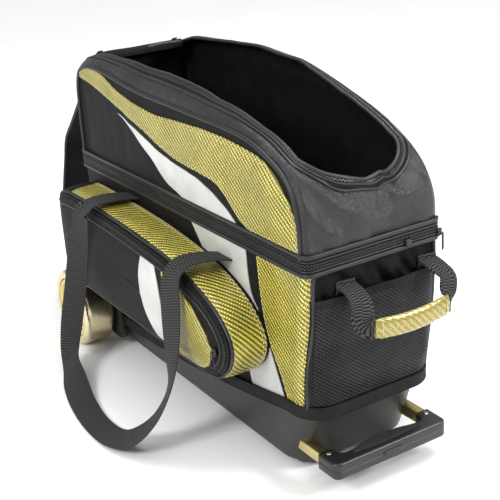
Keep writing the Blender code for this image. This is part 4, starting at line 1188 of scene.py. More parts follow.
def webbing_shape(route, width, thickness, steps=8):
    """A strap through (point, direction across) stations, with rolled edges and UVs along it."""
    centres = smooth_line([s[0] for s in route], steps)
    across = smooth_line([s[1] for s in route], steps)
    rows, us, run = [], [], 0.0
    half, thick = width / 2, thickness / 2
    profile = [(-half, 0.0), (-half * 0.97, thick), (-half * 0.5, thick), (0.0, thick),
               (half * 0.5, thick), (half * 0.97, thick), (half, 0.0), (half * 0.97, -thick),
               (half * 0.5, -thick), (0.0, -thick), (-half * 0.5, -thick), (-half * 0.97, -thick)]
    for i, centre in enumerate(centres):
        after, before = centres[min(i + 1, len(centres) - 1)], centres[max(i - 1, 0)]
        ahead = (after - before).normalized()
        side = (across[i] - across[i].dot(ahead) * ahead).normalized()
        face = ahead.cross(side)
        rows.append([centre + side * a + face * b for a, b in profile])
        us.append(run)
        run += (after - centre).length
    us.append(run)
    vs = [a for a, _ in profile] + [profile[0][0]]
    shape = Shape()
    first = shape.grid(rows, us, vs, close_cols=True)
    shape.cap(first, len(profile), backwards=True)
    shape.cap(first + (len(rows) - 1) * len(profile), len(profile))
    return shape


def mirrored(route, side):
    """The same route on the front or the back of the bag."""
    return [(Vector((p[0], -side * p[1], p[2])), Vector((w[0], -side * w[1], w[2])))
            for p, w in route]


def straps():
    """Carry straps: sewn over the pocket's top, folding where the loop hangs free."""
    for side, word in SIDES:
        shape = webbing_shape(mirrored(STRAP_ROUTE, side), 0.048, 0.0025)
        strap = shape.build("carry_strap_" + word, WEBBING, None,
                            ("strap_loop_" + word, "strap_wheel_anchor_" + word,
                             "strap_tow_anchor_" + word))
        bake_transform(strap)


# --- shoe compartment cover -------------------------------------------------------------------------------
COVER_HALF_WIDTH = 0.0915
COVER_HINGE = Vector((-0.335, 0.0, 0.606))
COVER_LENGTHS = (0.315, 0.170, 0.240)
COVER_HEADINGS = (225.0, 247.0, 262.0)


def heading(degrees):
    """Unit vector in the XZ plane, measured from +X towards +Z."""
    return Vector((math.cos(math.radians(degrees)), 0, math.sin(math.radians(degrees))))


def cover_strips():
    """Centre lines of three strips that meet in the middle of the panels."""
    folds = [COVER_HINGE]
    for length, angle in zip(COVER_LENGTHS[:2], COVER_HEADINGS):
        folds.append(folds[-1] + heading(angle) * length)
    first = smooth_line([(-0.3310, 0, 0.5800), (-0.3325, 0, 0.5875), (-0.3380, 0, 0.5930),
                         (-0.3460, 0, 0.5900), (-0.3590, 0, 0.5790), (-0.3900, 0, 0.5500),
                         folds[0].lerp(folds[1], 0.5)], 7)
    second = smooth_line([folds[0].lerp(folds[1], 0.5), folds[0].lerp(folds[1], 0.8), folds[1],
                          folds[1].lerp(folds[2], 0.3), folds[1].lerp(folds[2], 0.5)], 8)
    straight = folds[2] + heading(262.0) * 0.150
    tail = [straight]
    for k in range(6):
        tail.append(tail[-1] + heading(262.0 - 55.0 * (k + 0.5) / 6) * 0.015)
    third = smooth_line([folds[1].lerp(folds[2], 0.5), folds[1].lerp(folds[2], 0.8), folds[2],
                         folds[2].lerp(straight, 0.4)] + tail, 6)
    return folds, (first, second, third)


def cover_half(i, count, tapered):
    """Half of the cover's width at a station; the tip is a rounded tongue."""
    if not tapered:
        return COVER_HALF_WIDTH
    left = 1 - i / (count - 1)
    return COVER_HALF_WIDTH * (0.50 + 0.50 * math.sqrt(1 - (1 - min(left / 0.42, 1.0)) ** 2))


def shoe_cover():
    """Padded cover folded back over the wheel end, in three strips whose centre lines turn at its folds."""
    folds, strips = cover_strips()
    joints = (("lid", "cover_1", folds[0] + Vector((0.009, 0, -0.012)),
               folds[0] + Vector((-0.014, 0, -0.012))),
              ("cover_1", "cover_2", folds[1] - heading(236) * 0.016, folds[1] + heading(236) * 0.016),
              ("cover_2", "cover_3", folds[2] - heading(254) * 0.016, folds[2] + heading(254) * 0.016))
    for number, (line, (first, second, start, end)) in enumerate(zip(strips, joints), 1):
        pad, tape, piping = Shape(), Shape(), Shape()
        rows, us, run = [], [], 0.0
        edges = {-1: [], 1: []}
        zips = {-1: [], 1: []}
        normals = []
        steps = 16
        for i, spot in enumerate(line):
            ahead = (line[min(i + 1, len(line) - 1)] - line[max(i - 1, 0)]).normalized()
            face = Vector((ahead.z, 0, -ahead.x))
            half = cover_half(i, len(line), number == 3)
            over, under = [], []
            for k in range(steps + 1):
                across = 2 * k / steps - 1
                thick = 0.0014 + 0.0026 * (1 - across ** 4) * smoothstep((COVER_HINGE.x - spot.x) / 0.03)
                wave = ripple((spot.x, across * half, spot.z), 17.0, 0.0022, 8.0) * (1 - across ** 6)
                at = spot + Vector((0, across * half, 0)) + face * wave
                over.append(at + face * thick)
                under.append(at - face * thick * 0.5)
            rows.append(over + under[::-1])
            us.append(run)
            run += (line[min(i + 1, len(line) - 1)] - spot).length
            normals.append(face)
            for side in (-1, 1):
                edges[side].append(spot + Vector((0, side * half, 0)) - face * 0.0034)
                zips[side].append(spot + Vector((0, side * (half - 0.010), 0)) + face * 0.0042)
        us.append(run)
        vs = [COVER_HALF_WIDTH * (2 * k / steps - 1) for k in range(steps + 1)]
        first_point = pad.grid(rows, us, vs + vs[::-1] + [vs[0]], close_cols=True)
        width = len(rows[0])
        pad.cap(first_point, width, backwards=True)
        pad.cap(first_point + (len(rows) - 1) * width, width)
        if number < 3:
            skip = 18 if number == 1 else 0
            for side in (-1, 1):
                sweep(piping, edges[side][skip:], normals[skip:], circle(0.0023, 9))
                sweep(tape, zips[side][skip:], normals[skip:], rounded_bar(0.0055, 0.0008, 0.0007))
        else:
            sweep(piping, edges[-1] + edges[1][::-1], normals + normals[::-1], circle(0.0023, 9))
            sweep(tape, zips[-1][:-2] + zips[1][:-2][::-1], normals[:-2] + normals[:-2][::-1],
                  rounded_bar(0.0055, 0.0008, 0.0007))
        made = (pad.build(f"cover_padding_{number}", FABRIC, None, (f"cover_panel_{number}",)),
                tape.build(f"cover_zip_tape_{number}", TAPE, None),
                piping.build(f"cover_piping_{number}", PIPING, None))
        for obj in made:
            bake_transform(obj)


# --- tow end ------------------------------------------------------------------------------------------------
POUCH_HALF = 0.1190


def end_wall(y, z):
    """How far out the tow end's wall reaches, round its corners too."""
    hem = hem_height(HALF_LENGTH)
    lift = min(max((z - hem) / (SPLIT_Z - hem), 0.0), 1.0)
    corner = 0.046 - 0.034 * lift
    past = max(abs(y) - (HALF_WIDTH - 0.002 * (1 - lift) - corner), 0.0)
    turn = corner - math.sqrt(max(corner ** 2 - past ** 2, 0.0))
    return HALF_LENGTH - 0.008 * (1 - lift) - turn


def pouch_point(y, z):
    """The mesh pocket's cloth, bulging from its sewn sides and bottom."""
    across = 1 - (abs(y) / POUCH_HALF) ** 4
    up = smoothstep((z - 0.1460) / 0.045)
    bulge = (0.0030 + 0.0135 * across * up) - 0.004 * smoothstep((z - 0.30) / 0.03) * across
    bulge += ripple((0.2, y, z), 20.0, 0.0030, 13.0) * across * up
    return Vector((end_wall(y, z) + bulge, y, z))


def mesh_pocket():
    """Mesh pouch with a ribbed hem and bound sides."""
    across, up = 32, 26
    ys = [POUCH_HALF * (2 * k / across - 1) for k in range(across + 1)]
    zs = [0.1465 + 0.1805 * k / up for k in range(up + 1)]
    cloth = Shape()
    rows = [[pouch_point(y, z) for y in ys] for z in zs]
    cloth.grid(rows, zs + [zs[-1]], ys + [ys[-1]])
    pouch = cloth.build("mesh_pouch", MESH, "root", ("mesh_pocket",))
    column = [row[across // 2] for row in rows]
    flat_height = sum((b - a).length for a, b in zip(column, column[1:]))
    out = Vector((1, 0, 0))
    hem_tape = Shape()
    line = [pouch_point(y, 0.3235) + out * 0.0008 for y in ys]
    sweep(hem_tape, line, [out] * len(line), rounded_bar(0.0065, 0.0011, 0.0009))
    tape = hem_tape.build("mesh_pouch_hem", BINDING)
    sides = Shape()
    for sign in (-1, 1):
        line = [pouch_point(sign * (POUCH_HALF - 0.003), z) + out * 0.0006 for z in zs]
        sweep(sides, line, [Vector((1, sign * 0.8, 0)).normalized()] * len(line),
              rounded_bar(0.0042, 0.0013, 0.0011))
    edges = sides.build("mesh_pouch_binding", BINDING)


END_HINGE = Vector((0.3925, 0.0, 0.3400))


def end_handle():
    """Webbing arms sewn to the tow end and a stitched gold grip wrapped round them."""
    hinge = END_HINGE
    ends = (("front", -0.058, -0.060, -0.0575, 1), ("back", 0.099, 0.105, 0.0875, -1))
    for word, attach_y, swing_y, grip_y, inward in ends:
        route = [(-0.0060, attach_y, 0.0030, (0, 1, 0)), (0.0020, attach_y, 0.0014, (0, 1, 0)),
                 (0.0200, attach_y, -0.003, (0, 1, 0)),
                 (0.0380, swing_y, -0.016, (0, 1, 0.25 * inward)),
                 (0.0480, grip_y - 0.009 * inward, -0.034, (0.2, 0.8, 0.8 * inward)),
                 (0.0545, grip_y - 0.005 * inward, -0.0455, (0, 0.2, 1.0 * inward)),
                 (0.0615, grip_y, -0.0465, (0, 0, 1.0 * inward))]
        stations = [((hinge.x + x, y, hinge.z + z), across) for x, y, z, across in route]
        arm = webbing_shape(stations, 0.034, 0.0030).build(
            "end_handle_webbing_" + word, WEBBING, None, ("end_handle_arm_" + word,))
        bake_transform(arm)
        patch = Shape()
        line = [Vector((HALF_LENGTH + x, attach_y, z)) for x, z in
                ((0.0010, 0.3290), (0.0026, 0.3340), (0.0034, 0.3400), (0.0034, 0.3450),
                 (0.0022, 0.3500))]
        sweep(patch, line, [Vector((1, 0, 0))] * 5, rounded_bar(0.0175, 0.0012, 0.0009))
        patch.build("end_handle_sewn_patch_" + word, WEBBING)
    sleeve, seams = Shape(), Shape()
    rows, centre_line = [], []
    count, around = 34, 20
    for k in range(count + 1):
        t = k / count
        bow = 0.006 * (1 - (2 * t - 1) ** 2)
        centre = Vector((hinge.x + 0.0625 + bow, -0.055 + 0.138 * t, hinge.z - 0.0475 - 0.5 * bow))
        pinch = 1 - 0.30 * smoothstep((abs(2 * t - 1) - 0.90) / 0.10)
        row = []
        for j in range(around):
            angle = 2 * math.pi * j / around
            lobe = 0.0064 * (1 + 0.10 * math.cos(2 * angle)) * pinch
            tall = 0.0168 * (1 - 0.12 * smoothstep((abs(2 * t - 1) - 0.8) / 0.2))
            groove = 1 - 0.20 * math.exp(-((math.sin(angle)) / 0.16) ** 2)
            crease = ripple((centre.y, math.cos(angle) * 0.02, math.sin(angle) * 0.02), 60, 0.0006)
            row.append(centre + Vector((lobe * groove * math.cos(angle) + crease, 0,
                                        tall * math.sin(angle))))
        rows.append(row)
        centre_line.append(row[0] + Vector((0.0002, 0, 0)))
    us = [0.138 * k / count for k in range(count + 2)]
    vs = [0.074 * j / around for j in range(around + 1)]
    first = sleeve.grid(rows, us, vs, close_cols=True)
    sleeve.cap(first, around, backwards=True)
    sleeve.cap(first + count * around, around)
    grip = sleeve.build("end_handle_sleeve", SLEEVE, "end_handle", ("end_handle_grip",), sharp=70)
    stitches(seams, centre_line, [Vector((1, 0, 0))] * len(centre_line))
    for index in (2, count - 2):
        ring = rows[index][-4:] + rows[index][:5]
        stitches(seams, [p + Vector((0.0003, 0, 0)) for p in ring], [Vector((1, 0, 0))] * len(ring))
    seams.build("end_handle_stitching", THREAD, "end_handle")


PULL_ANGLE = math.radians(36)


def corner_spot(out, along, z):
    """A point outside the rounded back corner of the zip band."""
    corner = 0.012
    normal = Vector((math.cos(PULL_ANGLE), math.sin(PULL_ANGLE), 0))
    side = Vector((-normal.y, normal.x, 0))
    middle = Vector((HALF_LENGTH - corner, HALF_WIDTH - corner, z))
    return middle + normal * (corner + out) + side * along


def wire_ring(points, normal, radius, name, body, replaced):
    """A closed pull of bent wire."""
    shape = Shape()
    points = [Vector(p) for p in points]
    line, _ = resample(points, points, 0.0025, closed=True)
    sweep(shape, line, [Vector(normal)] * len(line), circle(radius, 8), closed=True)
    return shape.build(name, COIL, body, replaced)


def zip_furniture():
    """Main slider and its rectangular pull at the back corner, and the second slider."""
    normal = Vector((math.cos(PULL_ANGLE), math.sin(PULL_ANGLE), 0))
    slider = Shape()
    line = [corner_spot(out, 0.0, 0.3796) for out in (0.0044, 0.0056, 0.0072, 0.0088, 0.0100)]
    sweep(slider, line, [Vector((0, 0, 1))] * 5, rounded_bar(0.0060, 0.0056, 0.0020),
          scales=(0.86, 1.0, 1.0, 0.92, 0.70))
    slider.build("main_slider_body", COIL, "root", ("main_slider",))
    frame_points = [corner_spot(0.0119, along, z) for along, z in
                    ((-0.0036, 0.3785), (0.0036, 0.3785), (0.0036, 0.3512), (-0.0036, 0.3512))]
    wire_ring(frame_points, normal, 0.0010, "main_wire_pull", "main_zip_pull", ("main_pull",))
    second = Shape()
    x = HALF_LENGTH + 0.0042
    line = [Vector((x + 0.0054 * k / 4, 0.060, 0.3796)) for k in range(5)]
    sweep(second, line, [Vector((0, 0, 1))] * 5, rounded_bar(0.0060, 0.0056, 0.0020),
          scales=(0.86, 1.0, 1.0, 0.92, 0.70))
    second.build("end_slider_body", COIL, "end_zip", ("end_slider",))


# --- base and tow handle --------------------------------------------------------------------------------------
TUBE_Y, TUBE_Z, TUBE_HALF = 0.0985, 0.054, 0.010
TUBE_START_X, GRIP_X, GRIP_LENGTH = -0.220, 0.373, 0.049
GRIP_HALF_WIDTH, GRIP_LOW, GRIP_HIGH = 0.112, 0.037, 0.066


def base_tray():
    """Moulded tray with rounded edges, a soft crease below its rim and two tube holes."""
    shape = Shape()
    levels = ((0.0000, 0.0190, 0.0070, 0), (0.0000, 0.0190, 0.0030, 0), (0.0015, 0.0200, 0.0007, 0),
              (0.0200, 0.0225, 0.0, 0), (0.0500, 0.0260, 0.0, 0))
    rings = []
    for spread, z, draw, _ in levels:
        points, _ = plan(0.331 + 0.037 * spread - draw, 0.115 + 0.0045 * spread - draw, 0.052 - draw)
        rings.append([Vector((p.x, p.y, z)) for p in points])
    for k in range(1, 9):
        t = k / 8
        spread = 0.05 + 0.95 * t
        points, outs = plan(0.331 + 0.037 * spread, 0.115 + 0.0045 * spread, 0.052)
        rings.append([Vector((p.x, p.y, 0.026 + (hem_height(p.x) - 0.0003 - 0.026) * t)) +
                      out * 0.0004 * math.sin(math.pi * t) for p, out in zip(points, outs)])
    for t in (1.0, 0.5, 0.0):
        spread = 0.05 + 0.95 * t
        points, _ = plan(0.3275 + 0.037 * spread, 0.1115 + 0.0045 * spread, 0.0485)
        rings.append([Vector((p.x, p.y, 0.026 + (hem_height(p.x) - 0.0003 - 0.026) * t))
                      for p in points])
    points, _ = plan(0.322, 0.106, 0.043)
    rings.append([Vector((p.x, p.y, 0.0225)) for p in points])
    first = shape.grid(rings, close_cols=True)
    count = len(rings[0])
    shape.cap(first, count, backwards=True)
    shape.cap(first + (len(rings) - 1) * count, count)
    tray = shape.build("moulded_base", BASE, "root", ("base_tray",))
    half = TUBE_HALF + 0.0009
    cutter = Shape()
    for side, _ in SIDES:
        line = [Vector((0.27, side * TUBE_Y, TUBE_Z)), Vector((0.39, side * TUBE_Y, TUBE_Z))]
        sweep(cutter, line, [Vector((0, 0, 1))] * 2, rounded_bar(half, half, 0.0028, 4))
    tool = cutter.build("tube_hole_cutter", BASE)
    tool.hide_render = True
    tool.display_type = "WIRE"
    cut = tray.modifiers.new("tube_holes", "BOOLEAN")
    cut.operation = "DIFFERENCE"
    cut.solver = "EXACT"
    cut.object = tool


def tow_tubes():
    """Drawn tubes with round corners, hollow at the open inner end."""
    for side, word in SIDES:
        shape = Shape()
        stations = [(TUBE_START_X, -0.0015), (TUBE_START_X, -0.0004), (TUBE_START_X + 0.0004, 0.0)]
        stations += [(TUBE_START_X + 0.0004 + (GRIP_X - 0.001 - TUBE_START_X) * k / 12, 0.0)
                     for k in range(1, 13)]
        rows = []
        for x, grow in stations + [(GRIP_X - 0.0006, -0.0015), (TUBE_START_X, -0.0015)]:
            half = TUBE_HALF + grow
            rows.append([Vector((x, side * TUBE_Y + a, TUBE_Z + b))
                         for a, b in rounded_bar(half, half, 0.0028 + grow * 0.7, 4)])
        shape.grid(rows[:-1], close_cols=True)
        shape.grid([rows[-2], rows[-1]], close_cols=True)
        shape.build("drawn_tube_" + word, TUBE, "tow_handle", ("tow_tube_" + word,))


def grip_outline(steps=9):
    """The grip seen from above: round outer corners and an arched inner edge."""
    corner = 0.012
    far_x = GRIP_X + GRIP_LENGTH
    half = []
    for k in range(7):
        angle = math.radians(15 * k)
        half.append((far_x - corner + corner * math.cos(angle),
                     GRIP_HALF_WIDTH - corner + corner * math.sin(angle)))
    for k in range(5):
        angle = math.radians(90 + 22.5 * k)
        half.append((GRIP_X + 0.003 + 0.003 * math.cos(angle),
                     GRIP_HALF_WIDTH - 0.003 + 0.003 * math.sin(angle)))
    half += [(GRIP_X + 0.0002, 0.0875), (GRIP_X + 0.0035, 0.0845), (GRIP_X + 0.014, 0.0832)]
    arch = smooth_line(((GRIP_X + 0.0200, 0.079, 0), (GRIP_X + 0.0215, 0.072, 0),
                        (GRIP_X + 0.0200, 0.058, 0), (GRIP_X + 0.014, 0.030, 0),
                        (GRIP_X + 0.012, 0.0, 0)), steps)
    half += [(p.x, p.y) for p in arch]
    front = [(far_x, y) for y in (0.0, 0.020, 0.045, 0.070, 0.090)]
    half = front + half
    return half + [(x, -y) for x, y in reversed(half[1:-1])]


def grip_ring(draw, z, dish=0.0):
    """The grip's outline drawn in by a distance at a height."""
    return [Vector((x, y, z)) for x, y in inset(grip_outline(), draw)]


def tow_grip():
    """Two-part moulded grip: rounded edges, seam line, button slot and textured pad."""
    shape = Shape()
    middle = (GRIP_LOW + GRIP_HIGH) / 2
    radius = 0.0045
    rings = []
    for k in range(6):
        angle = math.radians(18 * k)
        rings.append(grip_ring(radius * (1 - math.sin(angle)),
                               GRIP_LOW + radius * (1 - math.cos(angle))))
    rings += [grip_ring(0.0, middle - 0.0009), grip_ring(0.0007, middle - 0.0003),
              grip_ring(0.0007, middle + 0.0003), grip_ring(0.0, middle + 0.0009)]
    for k in range(6):
        angle = math.radians(90 - 18 * k)
        rings.append(grip_ring(radius * (1 - math.sin(angle)),
                               GRIP_HIGH - radius * (1 - math.cos(angle))))
    first = shape.grid(rings, close_cols=True)
    count = len(rings[0])
    shape.cap(first, count, backwards=True)
    shape.cap(first + (len(rings) - 1) * count, count)
    grip = shape.build("moulded_grip", GRIP, "tow_handle", ("tow_grip",))
    slot = Shape()
    far_x = GRIP_X + GRIP_LENGTH
    line = [Vector((far_x - 0.014, 0, middle)), Vector((far_x + 0.010, 0, middle))]
    sweep(slot, line, [Vector((0, 0, 1))] * 2, rounded_bar(0.0208, 0.0052, 0.0051, 8))
    tool = slot.build("button_slot_cutter", GRIP, "tow_handle")
    tool.hide_render = True
    tool.display_type = "WIRE"
    cut = grip.modifiers.new("button_slot", "BOOLEAN")
    cut.operation = "DIFFERENCE"
    cut.solver = "EXACT"
    cut.object = tool
    button = Shape()
    line = [Vector((far_x + x, 0, middle)) for x in (-0.0085, -0.004, 0.0000, 0.0010, 0.0017, 0.0021)]
    sweep(button, line, [Vector((0, 0, 1))] * 6, rounded_bar(0.0200, 0.0045, 0.00445, 8),
          scales=(1.0, 1.0, 1.0, 0.985, 0.95, 0.86))
    button.build("release_button", GRIP, "button", ("tow_button",))
    pad = Shape()
    outline = [(x, y) for x, y in grip_outline() if x < GRIP_X + 0.022 and abs(y) < 0.066]
    left = sorted(outline, key=lambda p: p[1])
    inner = [(x + 0.0045, y) for x, y in left]
    outer = [(GRIP_X + 0.0385 - 0.0035 * (y / 0.066) ** 2, y) for _, y in reversed(left)]
    flat = inner + outer
    rows = []
    for draw, z in ((0.0, -0.0006), (0.0, 0.0007), (0.0006, 0.0012), (0.0016, 0.0013)):
        rows.append([Vector((x, y, GRIP_HIGH + z)) for x, y in inset(flat, draw)])
    first = pad.grid(rows, close_cols=True)
    pad.cap(first + 3 * len(flat), len(flat))
    pad.build("grip_textured_pad", PAD, "tow_handle", ("grip_insert",))


def grip_screws():
    """Domed screw heads with a cross slot."""
    for side, word in SIDES:
        head, cross = Shape(), Shape()
        centre = Vector((GRIP_X + 0.012, side * TUBE_Y, GRIP_HIGH))
        rows = []
        for radius, z in ((0.0042, -0.0005), (0.0042, 0.0006), (0.0037, 0.0012), (0.0025, 0.0016),
                          (0.0008, 0.0017)):
            rows.append([centre + Vector((radius * math.cos(a), radius * math.sin(a), z))
                         for a in (2 * math.pi * k / 20 for k in range(20))])
        first = head.grid(rows, close_cols=True)
        head.cap(first + 4 * 20, 20)
        head.build("screw_head_" + word, STEEL, "tow_handle", ("grip_screw_" + word,))
        for across in ((1, 0), (0, 1)):
            arm = Vector((*across, 0)) * 0.0026
            line = [centre - arm + Vector((0, 0, 0.00125)), centre + arm + Vector((0, 0, 0.00125))]
            sweep(cross, line, [Vector((0, 0, 1))] * 2, rounded_bar(0.0004, 0.0006, 0.0001, 1))
        cross.build("screw_cross_" + word, GRIP, "tow_handle")


# --- wheels -------------------------------------------------------------------------------------------------
WHEEL = Vector((-0.372, 0.0, 0.080))
WHEEL_INNER_Y, WHEEL_WIDTH = 0.1365, 0.064


def turned(shape, profile, side, centre=WHEEL, sides=72, closed=True):
    """A ring turned about the axle; the profile is (radius, distance from the bag's middle)."""
    rows = []
    for i in range(sides):
        angle = 2 * math.pi * i / sides
        rows.append([Vector((centre.x + r * math.cos(angle), side * y,
                             centre.z + r * math.sin(angle))) for r, y in profile])
    shape.grid(rows, close_rows=True, close_cols=closed)


def bead(shape, centre, axis, radius, height):
    """A low dome on a face."""
    side = axis.orthogonal().normalized()
    other = axis.cross(side)
    rows = []
    for k in range(5):
        angle = math.radians(90 * k / 5)
        rows.append([centre + (side * math.cos(a) + other * math.sin(a)) * radius * math.cos(angle)
                     + axis * height * math.sin(angle)
                     for a in (2 * math.pi * j / 14 for j in range(14))])
    first = shape.grid(rows, close_cols=True)
    shape.cap(first + 4 * 14, 14)


def wheels():
    """Gold wheels: a rounded tread, a dished hub with a ring of domes, and a centre cap."""
    inner, outer = WHEEL_INNER_Y, WHEEL_INNER_Y + WHEEL_WIDTH
    for side, word in SIDES:
        body = "wheel_" + word
        tread = Shape()
        edge = 0.0115
        profile = [(0.0613, inner + 0.0008), (WHEEL.z - edge, inner + 0.0004)]
        for y, first in ((inner + edge, -90), (outer - edge, 0)):
            profile += [(WHEEL.z - edge + edge * math.cos(math.radians(first + 11.25 * k)),
                         y + edge * math.sin(math.radians(first + 11.25 * k))) for k in range(9)]
        profile += [(0.0640, outer - 0.0002), (0.0620, outer - 0.0014), (0.0613, outer - 0.0040)]
        turned(tread, profile, side)
        tread.build("gold_tread_" + word, TREAD, body, ("wheel_tread_" + word,))
        hub = Shape()
        face = smooth_line([(r, y, 0) for r, y in (
            (0.0608, outer - 0.0036), (0.0590, outer - 0.0022), (0.0560, outer - 0.0018),
            (0.0530, outer - 0.0026), (0.0505, outer - 0.0066), (0.0480, outer - 0.0100),
            (0.0430, outer - 0.0112), (0.0350, outer - 0.0114), (0.0270, outer - 0.0106),
            (0.0235, outer - 0.0080), (0.0205, outer - 0.0066), (0.0170, outer - 0.0062),
            (0.0120, outer - 0.0068), (0.0106, outer - 0.0075))], 3)
        profile = [(p.x, p.y) for p in face] + [(0.0106, inner + 0.0045), (0.0608, inner + 0.0045)]
        turned(hub, profile, side)
        hub.build("dished_hub_" + word, CHROME, body, ("wheel_hub_" + word,))
        domes = Shape()
        axis = Vector((0, side, 0))
        for k in range(10):
            angle = 2 * math.pi * k / 10
            bead(domes, Vector((WHEEL.x + 0.0372 * math.cos(angle), side * (outer - 0.0116),
                                WHEEL.z + 0.0372 * math.sin(angle))), axis, 0.0070, 0.0056)
        for k in range(30):
            angle = 2 * math.pi * k / 30
            bead(domes, Vector((WHEEL.x + 0.0207 * math.cos(angle), side * (outer - 0.0068),
                                WHEEL.z + 0.0207 * math.sin(angle))), axis, 0.0012, 0.0010)
        domes.build("hub_domes_" + word, CHROME, body)
        cap = Shape()
        rows = []
        for r, y in ((0.0050, -0.0070), (0.0100, -0.0064), (0.0104, -0.0052), (0.0098, -0.0034),
                     (0.0078, -0.0021), (0.0045, -0.0013), (0.0012, -0.0011)):
            rows.append([Vector((WHEEL.x + r * math.cos(a), side * (outer + y),
                                 WHEEL.z + r * math.sin(a)))
                         for a in (2 * math.pi * j / 36 for j in range(36))])
        first = cap.grid(rows, close_cols=True)
        cap.cap(first + 6 * 36, 36)
        cap.build("axle_cap_" + word, CHROME, "root")


# --- inside ---------------------------------------------------------------------------------------------------
def interior():
    """Foam cups, padded dividers and the hinge tape, seen with the lid open."""
    for index in range(3):
        cup = Shape()
        centre = Vector(((index - 1) * 0.236, 0, 0))
        low = 0.0788
        profile = [(p.x, p.y) for p in smooth_line([(r, z, 0) for r, z in (
            (0.0530, low), (0.0920, low), (0.0935, low + 0.004), (0.0932, low + 0.0120),
            (0.0900, low + 0.0158), (0.0860, low + 0.0168), (0.0790, low + 0.0150),
            (0.0680, low + 0.0082), (0.0590, low + 0.0036), (0.0530, low + 0.0010))], 3)]
        rows = []
        for i in range(56):
            angle = 2 * math.pi * i / 56
            rows.append([centre + Vector((r * math.cos(angle), r * math.sin(angle), z))
                         for r, z in profile])
        cup.grid(rows, close_rows=True, close_cols=True)
        made = cup.build(f"foam_cup_{index + 1}", FOAM, "root", (f"ball_cup_{index + 1}",), sharp=60)
    for index in range(2):
        x = (index - 0.5) * 0.236
        divider = Shape()
        rows = []
        for k in range(25):
            y = 0.1150 * (2 * k / 24 - 1)
            edge = 1 - abs(2 * k / 24 - 1) ** 6
            high = 0.330 + 0.013 * smoothstep((0.118 - abs(y)) / 0.02)
            column = []
            for j in range(15):
                z = 0.1125 + (high - 0.1125) * j / 14
                thick = 0.0016 + 0.0026 * edge * (1 - (2 * j / 14 - 1) ** 6)
                column.append(Vector((x + thick + ripple((x, y, z), 20, 0.0006) * edge, y, z)))
            back = [Vector((2 * x - p.x, p.y, p.z)) for p in reversed(column)]
            rows.append(column + back)
        first = divider.grid(rows, close_cols=True)
        divider.cap(first, 30, backwards=True)
        divider.cap(first + 24 * 30, 30)
        made = divider.build(f"padded_divider_{index + 1}", LINING, "root",
                             (f"ball_divider_{index + 1}",), sharp=60)
    tape = Shape()
    line = [Vector((-0.349 + 0.698 * k / 60, HALF_WIDTH + 0.0013, SPLIT_Z - 0.0092))
            for k in range(61)]
    sweep(tape, line, [Vector((0, 1, 0))] * 61, rounded_bar(0.0088, 0.0010, 0.0008))
    made = tape.build("hinge_webbing", BINDING, None, ("lid_hinge_tape",))
    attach(made, "root")


def cad_looks():
    """Materials of the CAD nodes that stay as they are."""
    looks = {"skid_foot": BASE, "ball_deck": BASE}
    for word in ("front", "back"):
        looks["guide_channel_" + word] = GRIP
        looks["wheel_bracket_" + word] = BASE
        looks["axle_" + word] = STEEL
        looks["wheel_bearing_" + word] = STEEL
    for name, look in looks.items():
        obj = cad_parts[name]
        obj.data.materials.clear()
        obj.data.materials.append(look)


# --- everything ------------------------------------------------------------------------------------------------
SHELL_OBJECT = SHELL.build("body_walls", FABRIC, "root", ("lower_shell",), sharp=60, inside=LINING)
thicken(SHELL_OBJECT, 0.0028)
body_panels()
hem()
zip_band()
lid_top()
opening_trim()
lid_sides()
shoe_lining()
for pocket_side, pocket_word in SIDES:
    pocket(pocket_side, pocket_word)
straps()
shoe_cover()
mesh_pocket()
end_handle()
zip_furniture()
base_tray()
tow_tubes()
tow_grip()
grip_screws()
wheels()
interior()
cad_looks()


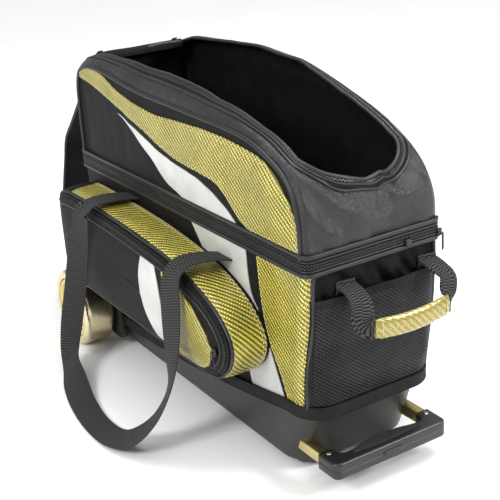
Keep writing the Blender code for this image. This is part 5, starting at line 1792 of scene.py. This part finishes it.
# --- floor, lights and camera -------------------------------------------------------------------------------------
def studio():
    """Pale floor, white surroundings and three soft lights."""
    mesh = bpy.data.meshes.new("studio_floor")
    reach = 12.0
    mesh.from_pydata([(-reach, -reach, 0), (reach, -reach, 0), (reach, reach, 0),
                      (-reach, reach, 0)], [], [(0, 1, 2, 3)])
    mesh.materials.append(floor_look())
    floor = bpy.data.objects.new("studio_floor", mesh)
    bpy.context.scene.collection.objects.link(floor)
    world = bpy.data.worlds.new("studio")
    bpy.context.scene.world = world
    world.use_nodes = True
    nodes, links = world.node_tree.nodes, world.node_tree.links
    place = nodes.new("ShaderNodeTexCoord")
    parts = nodes.new("ShaderNodeSeparateXYZ")
    ramp = nodes.new("ShaderNodeValToRGB")
    links.new(place.outputs["Generated"], parts.inputs[0])
    links.new(parts.outputs[2], ramp.inputs[0])
    links.new(ramp.outputs[0], nodes["Background"].inputs["Color"])
    nodes["Background"].inputs["Strength"].default_value = 1.5
    elements = ramp.color_ramp.elements
    elements.new(0.5)
    elements.new(0.5)
    for element, (height, level) in zip(elements, ((0.04, 0.64), (0.14, 0.26), (0.42, 0.26),
                                                   (0.90, 1.0))):
        element.position = height
        element.color = (level * 0.98, level * 0.985, level, 1.0)
    for name, spot, size, power in (("key", (0.9, -2.3, 1.9), 0.8, 48.0),
                                    ("fill", (2.3, 1.5, 1.8), 0.7, 58.0),
                                    ("top", (0.1, 0.6, 2.8), 0.9, 36.0)):
        light = bpy.data.lights.new(name, "AREA")
        light.size = size
        light.energy = power
        lamp = bpy.data.objects.new(name, light)
        bpy.context.scene.collection.objects.link(lamp)
        lamp.location = spot
        aim = Vector((0.0, 0.0, 0.25)) - lamp.location
        lamp.rotation_euler = aim.to_track_quat("-Z", "Y").to_euler()


def camera():
    """Camera at the photograph's viewing angle."""
    forward = Vector((-0.7989, 0.4776, -0.3656)).normalized()
    roll = -0.0703
    right = forward.cross(Vector((0, 0, 1))).normalized()
    up = right.cross(forward)
    turned_right = right * math.cos(roll) + up * math.sin(roll)
    turned_up = up * math.cos(roll) - right * math.sin(roll)
    data = bpy.data.cameras.new("photo_camera")
    data.sensor_width = 36.0
    data.lens = 78.17
    data.clip_end = 100.0
    made = bpy.data.objects.new("photo_camera", data)
    bpy.context.scene.collection.objects.link(made)
    turn = Matrix((turned_right, turned_up, -forward)).transposed().to_4x4()
    made.matrix_world = Matrix.Translation((1.6947, -0.9294, 0.9848)) @ turn
    bpy.context.scene.camera = made


studio()
camera()
bpy.context.scene.view_settings.view_transform = "Standard"
